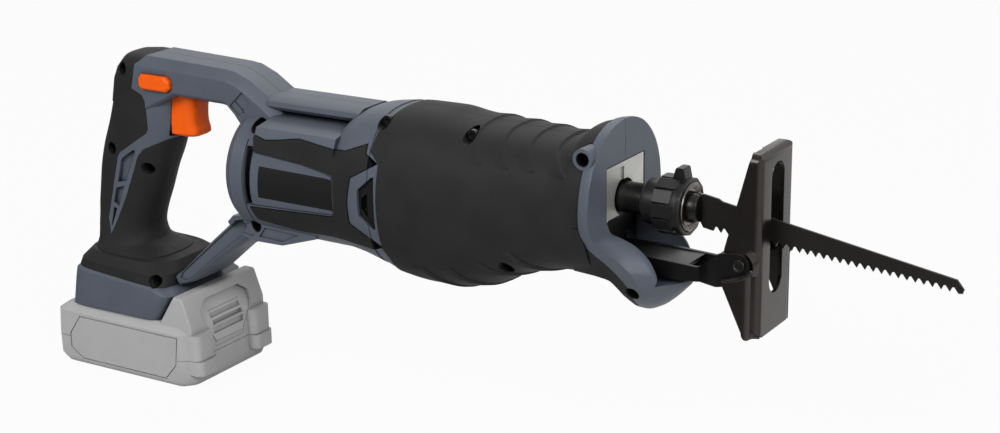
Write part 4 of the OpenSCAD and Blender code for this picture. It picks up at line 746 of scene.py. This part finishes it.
def groove(a, b, width, depth, y):
    """Thin cut from a to b of the side view, into both side faces that lie at y."""
    a, b = np.array(a, float), np.array(b, float)
    d = (b - a) / np.linalg.norm(b - a) * width / 2
    n = np.array([-d[1], d[0]])
    corners = (a - d + n, b + d + n, b + d - n, a - d - n)
    return plates([tuple(c) for c in corners], y - depth, y + 6)


def mouth():
    """Opening under the nose plate, for the shoe's bracket."""
    return side_plate([(-5, 1), (60, 1), (60, -36), (33, -38.4), (-58, -38.4), (-58, -20),
                       (-12, -20)], -MOUTH_HW, MOUTH_HW)


def plate_seat(side, top):
    """Seat of the nose plate, with its gaps beside the plate and above it."""
    return block((-12, -PLATE_HW - GAP, PLATE_BOT - GAP), (8, PLATE_HW + side, PLATE_TOP + top))


def switch_room():
    return block((-321.5, -10.3, -10), (-300, 10.3, 22))


def trigger_room():
    """Room behind the trigger's face, and for its stem."""
    return join(block((-301.2, -9.4, -4.6), (-286, 9.4, 21.4)),
                block((-310, -4.5, 5), (-288, 4.5, 13)))


# ---- housing ----


def motor_room():
    room = join(barrel_loft(WALL), grip_loft(SLEEVE + WALL, n=48), rod_x(27, -152, -126, BARREL_Z))
    return cut(room, *posts_at(("arm_root", "keel", "grip_low"), BOSS_R))


def handle_room():
    room = loft(rows_of(level, (-10, -342, -309, 11, 3), (-44, -351, -314, 11, 3),
                        (-72, -353, -322, 12, 3), (-90, -354, -318, 16, 4)))
    return cut(room, *posts_at(["spine"], BOSS_R - 0.2, 12))


def rooms():
    """What the housing leaves free for the pieces in it."""
    slot = [(x + (GAP if x > -297 else -GAP), z + (GAP if z > 29 else -GAP)) for x, z in LOCK]
    wires = block((-350.3, -14.3, -98), (-319.7, 14.3, -90))
    rails = block((-352.3, -26.3, FOOT_Z - 1), (-252, 26.3, -97.7))
    return [motor_room(), handle_room(), switch_room(), trigger_room(), wires, rails,
            plate_seat(1.2, 0.5), mouth(), across(slot), shell(grown(COVER, 0.35), 2),
            *plates(VENT, 31, WIDE)]


def fine_cuts():
    """Grooves and shallow fields in the housing's outside."""
    arcs = keep(cut(rod_x(BARREL_R + 3, -221.2, -216, BARREL_Z),
                    rod_x(BARREL_R - 7, -222, -215, BARREL_Z)),
                block((-242, -50, -28), (-202, 50, 5)))
    seam = cut(rod_x(BARREL_R + 3, -221.6, -221, BARREL_Z),
               rod_x(BARREL_R - 0.6, -223, -220, BARREL_Z),
               block((-240, -40, 8), (-200, 40, 60)))
    line = cut(shell(grown(PANEL, 0.25), 0.45), across(grown(PANEL, -0.25)))
    made = [arcs, seam, line, cut(across(BRACE_FIELD), brace(1.0))]
    fields = [(outline, 14.6) for outline in WINDOWS] + [(ARM_FIELD, 16.6), (ARM_LINE, 16.0)]
    for outline, depth in fields + [(outline, 23.1) for outline in KEEL_FIELDS]:
        made += plates(outline, depth, 40)
    return made


def half_of(whole, side):
    """Copy of the half of a solid on one side of the seam."""
    near, far = (-90, -SEAM) if side < 0 else (SEAM, 90)
    return keep(copy(whole), block((-420, near, -160), (80, far, 80)))


def hole_shade_linings(half):
    """Dark linings of the screws' holes: a dark sheet that stands for painted shade inside them."""
    return keep(join(*[cut(rod_y(HOLE_R - 0.02, *at, -WIDE, HOLE_DEPTH - y),
                           rod_y(HOLE_R - 0.35, *at, -WIDE - 1, HOLE_DEPTH + 1 - y))
                       for at, y in SCREWS.values()]), copy(half))


def housing():
    whole = cut(housing_outer(), *rooms(), *fine_cuts())
    left, right = half_of(whole, 1), half_of(whole, -1)
    scrap(whole)
    # painted shade: dark linings inside the screw holes
    piece(hole_shade_linings(right), "screw_hole_shade", "body", "black_plastic")
    for at, y in SCREWS.values():
        cut(right, rod_y(HOLE_R, *at, -WIDE, HOLE_DEPTH - y), rod_y(BORE_R, *at, -WIDE, 1, 24))
        cut(left, rod_y(PILOT_R, *at, -1, 9, 24))
    cut(right, cut(side_plate(grown(LABEL, 0.15), -WIDE, -20), skin_inner(0.8)))
    piece(right, "shell_right", "body", "housing", "housing_right")
    piece(left, "shell_left", "body", "housing", "housing_left")


housing()

# ---- rubber ----


def front_rubber():
    whole = join(grip_loft(0, with_relief=True, step=0.6, n=200),
                 keep(nose_solid(), block((-17.3, -WIDE, -90), (103, WIDE, -8))))
    keep(whole, behind_band())
    return cut(whole, grip_loft(SLEEVE), chin_core(1), *posts_at(["nose"], HOLE_R + 2.2),
               *posts_at(("chin", "shoulder", "grip_low", "grip_top"), HOLE_R),
               plate_seat(GAP, GAP), mouth(), across(grown(SLEEVE_EDGE, 0.12)))


def handle_rubber():
    whole = join(handle_loft(0), skirt_loft(0), arm_head(0))
    cut(whole, join(handle_loft(GRIP), skirt_loft(GRIP), arm_head(GRIP)),
        across(grown(SPINE, 0.12)), foot(), brace(), block((-294, -45, 4), (-214, 45, 64)),
        switch_room(), trigger_room(),
        *posts_at(("arm_head", "spine", "handle", "foot"), HOLE_R))
    # short slanting cuts at the back of the handle
    for i in range(4):
        x, z = -353.5 - 0.6 * i, -30 - 6.5 * i
        cut(whole, *groove((x - 6, z - 5), (x + 6.5, z + 3.5), 0.9, 0.8, 15.2))
    return whole


def halved(whole, name, stands_for, look):
    """A piece on each side of the seam."""
    for side, word in ((-1, "right"), (1, "left")):
        piece(half_of(whole, side), f"{name}_{word}", "body", look, f"{stands_for}_{word}")
    scrap(whole)


def vents():
    return cut(join(*plates(grown(VENT, -0.15), 31.1, 37.2)), *plates(VENT_SLOT, 33.5, WIDE))


halved(front_rubber(), "grip_rubber", "front_sleeve", "rubber")
halved(handle_rubber(), "handle_rubber", "handle_grip", "rubber")
halved(shell(COVER, 2, 0.5), "motor_rubber", "side_cover", "rubber")
halved(vents(), "vent_grille", "vent_insert", "black_plastic")

label = keep(side_plate(LABEL, -WIDE, -20), skin_inner(-0.05))
piece(cut(label, skin_inner(0.75)), "label", "body", "black_plastic", "label_plate")

# ---- trigger ----

TRIGGER_X, TRIGGER_HW = -290.5, 9.0
TRIGGER_ROWS = [(-3.6, 11.8), (-2.2, 13.4), (0, 13.2), (3, 12.3), (7, 11.9), (12, 12.2),
                (17, 12.9), (20.8, 12.8)]       # height, reach in front of the rear face


def trigger():
    rows = np.array(TRIGGER_ROWS)
    low, top = rows[0, 0], rows[-1, 0]
    heights = np.linspace(low, top, 40)
    rings = []
    for z, reach in zip(heights, curve(rows[:, 0], rows[:, 1:], heights)[:, 0]):
        front = TRIGGER_X + reach
        hw = TRIGGER_HW - 1.2 * max(0, 1 - (z - low) / 2) ** 2
        half = [(TRIGGER_X, hw)] + [(front - 5.6 + 5.6 * math.sin(a), hw - 4.6 + 4.6 * math.cos(a))
                                    for a in np.radians(np.linspace(0, 90, 10))]
        rings.append(np.array([(x, y, z) for x, y in half] + [(x, -y, z) for x, y in half[::-1]]))
    stem = block((-306, -4, 6), (-289, 4, 12))
    skirt = block((-294.3, -TRIGGER_HW, -2.8), (TRIGGER_X + 1, TRIGGER_HW, top))
    spring_room = rod_x(4.2, -295, -290.9, 1.6, 48)
    return cut(join(tube(rings), stem, skirt), spring_room)


piece(trigger(), "trigger_lever", "trigger_unit", "orange", "trigger", 40)

# ---- shoe and its bracket ----

PIVOT, PIN_R = (74, -18.8), 2.5
FACE_X, SHEET, SHOE_HW = 84, 2.0, 19.5
SHOE_TOP, SHOE_BOT = 37.2, -56.3
LUG_Y = SHOE_HW + 0.3


def pipe(points, r, n=16):
    """Round bar along points of 3-D space, its ends rounded off."""
    p = np.array(points, float)
    way = np.gradient(p, axis=0)
    way /= np.linalg.norm(way, axis=1)[:, None]
    c, s = turn(n)
    rings = []
    for i, (q, w) in enumerate(zip(p, way)):
        u = np.cross(w, (0, 1, 0))
        u /= np.linalg.norm(u)
        v = np.cross(w, u)
        for back, k in (((-0.9, 0.45), (-0.5, 0.85), (0, 1)) if i == 0 else
                        ((0, 1), (0.5, 0.85), (0.9, 0.45)) if i == len(p) - 1 else ((0, 1),)):
            rings.append(q + w * r * back + r * k * (c[:, None] * u + s[:, None] * v))
    return tube(rings)


def both_sides(make):
    """Union of a form and its mirror image on the other side."""
    a, b = make(), make()
    b.data.transform(Matrix.Scale(-1, 4, (0, 1, 0)))
    b.data.flip_normals()
    return join(a, b)


def pressed_box(i):
    """Outside of the pressed sheet, or its inside when i is the sheet's thickness."""
    r, front, hw, top = 4.2 - i, FACE_X - i, SHOE_HW - i, SHOE_TOP - i
    plan = ([(50, -hw)] + arc((front - r, -hw + r), r, -90, 0) + arc((front - r, hw - r), r, 0, 90)
            + [(50, hw)])
    side = ([(50, SHOE_BOT - 4 * i), (front, SHOE_BOT - 4 * i)]
            + arc((front - r, top - r), r, 0, 90) + [(50, top)])
    c = 5.5
    face = [(-hw, SHOE_BOT - 4 * i), (hw, SHOE_BOT - 4 * i)]
    if i == 0:
        face = arc((-hw + c, SHOE_BOT + c), c, 180, 270) + arc((hw - c, SHOE_BOT + c), c, 270, 360)
    face += arc((hw - c, top - c), c, 0, 90) + arc((-hw + c, top - c), c, 90, 180)
    return keep(plan_plate(plan, SHOE_BOT - 9, SHOE_TOP + 1), side_plate(side, -40, 40),
                front_bar(face, 40, 90))


def shoe():
    sheet = cut(pressed_box(0), pressed_box(SHEET))
    keep(sheet, side_plate([(79.4, -60), (90, -60), (90, 40), (76.4, 40), (77.9, 35.4), (65, -12.4),
                            (67.5, -23), (70, -25.8), (79.4, -25.8)], -40, 40))
    # lower flanges, stepped out past the lugs
    out = SHOE_HW + 4.4
    plan = ([(60, out), (77.6, out)] + arc((77.6, out - 2.4), 2.4, 80, 35, 4)
            + arc((84, 21.8), 4.4, 215, 250, 4) + [(84, 17), (82.2, 15.5)]
            + [(x - 1.5, y - 0.9) for x, y in arc((84, 21.8), 4.4, 250, 215, 4)]
            + [(77.2, out - 1.6), (60, out - 1.6)])
    low = [(66.2, -26.6), (66, -29.2), (76.9, -52.4)] + arc((80.4, -52.8), 3.5, 185, 262, 7) + [
        (FACE_X + 1, -56.3), (FACE_X + 1, -22), (80, -21.6)]
    join(sheet, both_sides(lambda: keep(plan_plate(plan, -60, -20), side_plate(low, -40, 40))))
    # rolled edge along their top, and the arch pressed out round each lug's end
    bead = [(66.4, -27.2), (70, -26.5), (74, -25.5), (77, -24.2), (79.4, -22.6), (81.2, -20.2)]
    join(sheet, both_sides(lambda: pipe([(x, out - 0.9, z) for x, z in bead], 1.15)))
    sector = [[(PIVOT[0] + r * math.cos(a), y, PIVOT[1] + r * math.sin(a))
               for r, y in ((9.9, SHOE_HW - 0.6), (8.4, out - 1.1), (7.5, out - 1.6),
                            (7.3, SHOE_HW - 0.6))]
              for a in np.radians(np.linspace(-28, 62, 16))]
    join(sheet, both_sides(lambda: keep(tube([np.array(s) for s in sector]),
                                        block((60, 0, -40), (FACE_X - 0.6, 40, 20)))))
    # the step in the rear edge of the top, the blade's slot and the pin's holes
    slot = join(rod_x(7.5, 70, 90, -29.4), rod_x(7.5, 70, 90, 22.8),
                block((70, -7.5, -29.4), (90, 7.5, 22.8)))
    cut(sheet, block((70, -14, 33), (78, -5, 40)), slot, rod_y(PIN_R + 0.25, *PIVOT, -WIDE, WIDE))
    return sheet


piece(shoe(), "shoe_plate", "shoe_unit", "shoe_steel", "shoe", 25)


def bracket():
    """Channel under the gear case: two walls that splay out to the lugs, a floor and a web."""
    low, y0, y1 = -36.4, 9.9, 11.9
    wall = [(-42, low), (-42, -31), (-36, -31), (-34, -28.6), (0, -26.3), (20.5, -25.8),
            (46.5, -26.9), (46.5, -34.6), (12, low)]
    bend = [(46.5, -34.6, -26.9), (48.5, -34.1, -26), (61.5, -31.8, -15.6), (63.3, -31.4, -14.4)]
    out = [0, 0.35, LUG_Y - y0 - 0.35, LUG_Y - y0]

    def half():
        a = side_plate(wall, y0, y1)
        flare = tube([np.array([(x, y0 + d, lo), (x, y1 + d, lo), (x, y1 + d, hi), (x, y0 + d, hi)])
                      for (x, lo, hi), d in zip(bend, out)])
        lug = side_plate([(63.2, -31.4), (63.2, -14.4), (65, -13.6)]
                         + arc(PIVOT, 6.0, 95, -80, 14) + [(67, -30.6)], LUG_Y, LUG_Y + 2)
        return join(a, flare, lug)

    whole = join(both_sides(half), block((-42, -y1, low), (10, y1, low + 2)),
                 block((-4, -y1 + 0.5, -28.6), (41, y1 - 0.5, -26.9)))
    screw_holes = [plan_plate(circle(2.2, 32, (x, 0)), -38, -33) for x in (-30, -14)]
    return cut(whole, rod_y(PIN_R, *PIVOT, -WIDE, WIDE), *screw_holes)


def round_y(profile, at):
    """Solid of revolution round a line across the tool, through an outline of (y, radius)."""
    obj = spun(profile, 48)
    obj.data.transform(Matrix(((0, 0, 1, at[0]), (1, 0, 0, 0), (0, 1, 0, at[1]), (0, 0, 0, 1))))
    return obj


def pin():
    y, r = LUG_Y + 2.06, PIN_R - 0.08
    half = [(y, r), (y, 3.5), (y + 0.8, 3.5), (y + 1.15, 3.1), (y + 1.15, 2.3), (y + 0.6, 1.7),
            (y + 0.6, 0)]
    return round_y([(-a, r) for a, r in half[::-1]] + half, PIVOT)


piece(bracket(), "bracket", "body", "bracket_steel", "shoe_bracket", 25)
piece(pin(), "pivot_pin", "shoe_unit", "dark_steel", "shoe_pin")

# ---- blade clamp ----

CLAMP_X, CLAMP_BORE, RIB_R, RIBS = 13.5, 8.25, 15.0, 12


def collar():
    """Twist collar: a round rear, a ribbed grip and a lug."""
    rear = spun([(CLAMP_X, CLAMP_BORE), (CLAMP_X, 10.3), (CLAMP_X + 0.4, 11.1), (CLAMP_X + 1.3, 11.7),
                 (CLAMP_X + 2.4, 11.9), (23.5, 11.9), (23.5, CLAMP_BORE)])
    slices = ((21.5, 12.9), (22.1, 13.7), (22.9, 14.0), (34.9, 14.5), (36.9, 14.7), (37.5, 14.1))
    grip = tube([np.array([(x, y, z) for y, z in circle(r / math.cos(math.pi / RIBS), RIBS)])
                 for x, r in slices])
    whole = join(rear, cut(keep(grip, rod_x(RIB_R, 20, 40)), rod_x(CLAMP_BORE, 20, 40)))
    for i in range(RIBS):
        rib = block((22.2, -3.35, 12), (32.2 + 1.6 * (i % 2), 3.35, RIB_R - 0.05))
        rib.data.transform(Matrix.Rotation(2 * math.pi * i / RIBS, 4, "X"))
        join(whole, rib)
    lug = side_plate([(28, 11.8), (30.3, 19.6), (30.9, 20.3), (34.2, 20.3), (34.9, 19.6),
                      (36.6, 11.8)], -3.8, 3.8)
    return cut(join(whole, lug), rod_x(CLAMP_BORE, 12, 40), rod_x(12.8, 35.3, 40),
               rod_x(10.5, 16.2, 22.1))


def ring():
    return spun([(35.6, 8.0), (35.6, 12.0), (36.2, 12.6), (37.9, 12.6), (38.4, 12.1), (37.9, 11.4),
                 (38.0, 10.9), (37.3, 10.4), (37.4, 9.9), (36.7, 9.4), (36.7, 8.0)])


def clamp_nose():
    """Rounded front end of the clamp's core, slotted for the blade."""
    core = spun([(38.2, 0), (38.2, 8), (41.4, 7.7), (43, 6.8), (43.7, 5.2), (43.7, 0)])
    return cut(core, block((38, -0.75, -9), (60, 0.75, 9)))


piece(collar(), "clamp_grip", "collar", "black_plastic", "clamp_collar", 22)
piece(ring(), "clamp_rim", "plunger_unit", "ring_steel", "clamp_ring", 20)
piece(clamp_nose(), "clamp_nose", "plunger_unit", "dark_steel")

# ---- battery ----

BATT_REAR, BATT_FRONT, BATT_HW = -371.5, -267.5, 38.0
BATT_TOP, BATT_BOT, BATT_SEAM = -111.6, -148.8, -131.6
RAIL_HW, RAIL_TOP = 26, -98
LATCH_X = FOOT_FRONT + 3.5
POST_REAR, POST_NEAR, POST_FAR, POST_R = -276, 17.6, 34.4, 4.5
ROOM_REAR, ROOM_FRONT, ROOM_HW, PANEL_DEPTH = -367.4, -271.7, 33, 0.9


def layer(i, z):
    """Level section of the battery at z, smaller by i all round."""
    r, f, w = BATT_REAR + i, BATT_FRONT - i, BATT_HW - i
    half = [(r + 3, w), (f - 7, w), (f - 5, w - 0.9), (f - 0.9, w - 5.6), (f, w - 8)]
    return np.array([(x, -y, z) for x, y in half] + [(x, y, z) for x, y in half[::-1]]
                    + [(r, w - 3, z), (r, 3 - w, z)])


def posts(z0, z1, x1):
    """Rounded buffer posts on the battery's front, one on each side of the button."""
    x, r = x1 - POST_R, POST_R
    plan = ([(POST_REAR, POST_NEAR)] + arc((x, POST_NEAR + r), r, -90, 0)
            + arc((x, POST_FAR - r), r, 0, 90) + [(POST_REAR, POST_FAR)])
    return both_sides(lambda: plan_plate(plan, z0, z1))


def side_field(inset):
    """Framed field on the battery's side."""
    top, low = BATT_TOP - 6, BATT_BOT + 4
    return grown([(-352.5, top), (-361, top - 12), (-361, low + 6), (-352, low), (-286, low),
                  (-277.5, low + 10), (-275.8, top)], -inset)


def both_fields(inset, y0, y1):
    return both_sides(lambda: side_plate(side_field(inset), y0, y1))


def latch_hole():
    """Room of the release button in the battery's front."""
    top, low, g = BATT_TOP + 12.1, BATT_TOP - 14.4, GAP
    rim = even([(15 + g / 2, top + g), (22 + g, top - 5), (22 + g, top - 11), (12 + g, low - g)])
    return join(front_bar(rim, LATCH_X - 5.5, BATT_FRONT + 12),
                block((BATT_FRONT - 0.4, -13, BATT_SEAM + 2.6), (BATT_FRONT + 12, 13, low + 1)))


def battery_top():
    """Upper shell, with the sloped nose that holds the release button."""
    whole = tube(rows_of(layer, (0, BATT_SEAM), (0, BATT_SEAM + 2), (0.5, BATT_TOP - 4.2),
                         (1.1, BATT_TOP - 3.4), (4.6, BATT_TOP - 0.6), (5.4, BATT_TOP)))
    slope = [(FOOT_FRONT - 11, BATT_TOP - 2), (-281.3, -95.4), (-280.4, -94.2), (-275, -94.2),
             (-273.6, -95), (BATT_FRONT - 0.3, BATT_TOP + 0.6), (BATT_FRONT - 0.2, -121)]
    nose = both_sides(lambda: tube([np.array([(x, y, z) for x, z in grown(slope, -i)])
                                    for y, i in ((0, 0), (32.6, 0), (33.6, 0.35), (34, 1))]))
    join(whole, nose, posts(BATT_SEAM, BATT_TOP - 4.4, BATT_FRONT + 4.6),
         block((-352, -RAIL_HW, BATT_TOP - 4), (-280, RAIL_HW, RAIL_TOP)))
    slits = [block((-353, y - 0.9, RAIL_TOP - 8), (-331, y + 0.9, RAIL_TOP + 1))
             for y in (-9, -3, 3, 9)]
    grooves = [block((-357, y - 2.5, BATT_TOP), (-283, y + 2.5, BATT_TOP + 5))
               for y in (-RAIL_HW, RAIL_HW)]
    room = block((ROOM_REAR, -ROOM_HW, -133), (ROOM_FRONT, ROOM_HW, -118.8))
    return cut(whole, latch_hole(), room, both_fields(0, BATT_HW - PANEL_DEPTH, 50), *slits,
               *grooves)


def battery_case():
    whole = tube(rows_of(layer, (3, BATT_BOT), (1, BATT_BOT + 1.2), (0.2, BATT_BOT + 3.4),
                         (0, BATT_SEAM - 1.2), (0, BATT_SEAM - 0.25)))
    join(whole, posts(BATT_BOT + 8, BATT_SEAM - 0.25, BATT_FRONT + 6.2))
    rear = side_plate([(BATT_REAR - 1, BATT_BOT + 9.5), (BATT_REAR - 1, BATT_BOT - 1),
                       (BATT_REAR + 11.5, BATT_BOT - 1)], -WIDE, WIDE)
    room = side_plate([(ROOM_REAR, -130), (ROOM_REAR, -141.3), (-360, -146.8),
                       (ROOM_FRONT, -146.8), (ROOM_FRONT, -130)], -ROOM_HW, ROOM_HW)
    return cut(whole, rear, room, both_fields(0, BATT_HW - PANEL_DEPTH, 50))


piece(battery_top(), "battery_top", "battery", "battery_grey", "battery_upper", 25)
piece(battery_case(), "battery_case", "battery", "battery_grey", "battery_lower", 25)
piece(both_fields(0.55, BATT_HW - 1.1, BATT_HW - 0.25), "battery_panels", "battery", "battery_grey")

# ---- floor, light, camera ----

PHOTO_AZIMUTH, PHOTO_ELEVATION, PHOTO_ROLL = 32.03, 17.5, -0.884    # degrees
PHOTO_LENS, SENSOR = 70.57, 36
CAMERA_PLACE = (0.4530, -0.8449, 0.2918)
AWAY = (0.8, 1, 0)          # level direction away from the camera


def largest(nt, a, b):
    return node(nt, "Math", {0: a, 1: b}, operation="MAXIMUM").outputs[0]


def seen_rays(nt):
    """Output that is 1 for rays of the camera, of reflections and of transmission."""
    ray = node(nt, "LightPath").outputs
    seen = largest(nt, ray["Is Camera Ray"], ray["Is Glossy Ray"])
    return largest(nt, seen, ray["Is Transmission Ray"])


def fade(nt, vector, near, far, least):
    """Output that rises from least to 1 as the vector goes from near the camera's side to far
    from it, and that is 1 for rays of the camera."""
    along = node(nt, "VectorMath", {0: vector, 1: AWAY}, operation="DOT_PRODUCT")
    rise = node(nt, "MapRange", {"Value": along.outputs["Value"], "From Min": near,
                                 "From Max": far, "To Min": least})
    ray = node(nt, "LightPath").outputs
    return largest(nt, rise.outputs["Result"], ray["Is Camera Ray"])


def floor_piece():
    """A wide pale floor under the battery. Reflections see it fade towards the camera's side,
    as the edge of a paper sweep does."""
    reach, low = 6.0, cad_lo.z - 0.4 * mm
    data = bpy.data.meshes.new("floor")
    data.from_pydata([(-reach, -reach, low), (reach, -reach, low), (reach, reach, low),
                      (-reach, reach, low)], [], [(0, 1, 2, 3)])
    m = bpy.data.materials.new("floor")
    m.use_nodes = True
    nt = m.node_tree
    paper = nt.nodes["Principled BSDF"]
    feed(nt, paper, {"Base Color": (0.55, 0.55, 0.55, 1), "Roughness": 0.9})
    spot = node(nt, "TexCoord").outputs["Object"]
    white = node(nt, "Emission", {"Strength": fade(nt, spot, -0.35, 0.1, 0.15)})
    part = node(nt, "Math", {0: seen_rays(nt), 1: 0.95}, operation="MULTIPLY")
    mix = node(nt, "MixShader", {"Fac": part.outputs[0], 1: paper.outputs[0],
                                 2: white.outputs[0]})
    feed(nt, nt.nodes["Material Output"], {"Surface": mix.outputs[0]})
    data.materials.append(m)
    placed("floor", data)


def world_light(level):
    """White background for the camera and reflections, and an even grey sky for light."""
    world = bpy.data.worlds.new("studio")
    bpy.context.scene.world = world
    world.use_nodes = True
    nt = world.node_tree
    around = node(nt, "TexCoord").outputs["Generated"]
    amount = node(nt, "MapRange", {"Value": seen_rays(nt), "To Min": level,
                                   "To Max": fade(nt, around, -0.8, 0.2, 0.3)})
    feed(nt, nt.nodes["Background"], {"Color": (1, 1, 1, 1),
                                      "Strength": amount.outputs["Result"]})


def softbox(name, place, at, size, power):
    """A soft rectangular lamp that points at a spot."""
    lamp = bpy.data.lights.new(name, "AREA")
    lamp.shape = "RECTANGLE"
    lamp.size, lamp.size_y = size
    lamp.energy = power
    obj = placed(name, lamp)
    obj.location = place
    obj.rotation_mode = "QUATERNION"
    obj.rotation_quaternion = (Vector(at) - Vector(place)).to_track_quat("-Z", "Y")


def camera():
    """Camera at the photograph's angle: to the right of the tool, ahead of it and above."""
    cam = bpy.data.cameras.new("camera")
    cam.sensor_width = SENSOR
    cam.lens = PHOTO_LENS
    cam.clip_start, cam.clip_end = 0.05, 50
    obj = placed("camera", cam)
    m = (Matrix.Rotation(math.radians(PHOTO_AZIMUTH), 4, "Z")
         @ Matrix.Rotation(math.radians(90 - PHOTO_ELEVATION), 4, "X")
         @ Matrix.Rotation(math.radians(PHOTO_ROLL), 4, "Z"))
    m.translation = CAMERA_PLACE
    obj.matrix_world = m
    bpy.context.scene.camera = obj


floor_piece()
world_light(0.26)
softbox("key", (-0.4, -1.6, 1.15), (-0.1, 0, -0.03), (1.2, 0.9), 25)
softbox("fill", (1.2, -0.7, 0.7), (0, 0, -0.03), (0.9, 0.9), 13)
softbox("rim", (-0.6, 1.1, 1.2), (-0.1, 0, -0.02), (1.4, 0.5), 6)
camera()
bpy.context.scene.view_settings.view_transform = "Standard"
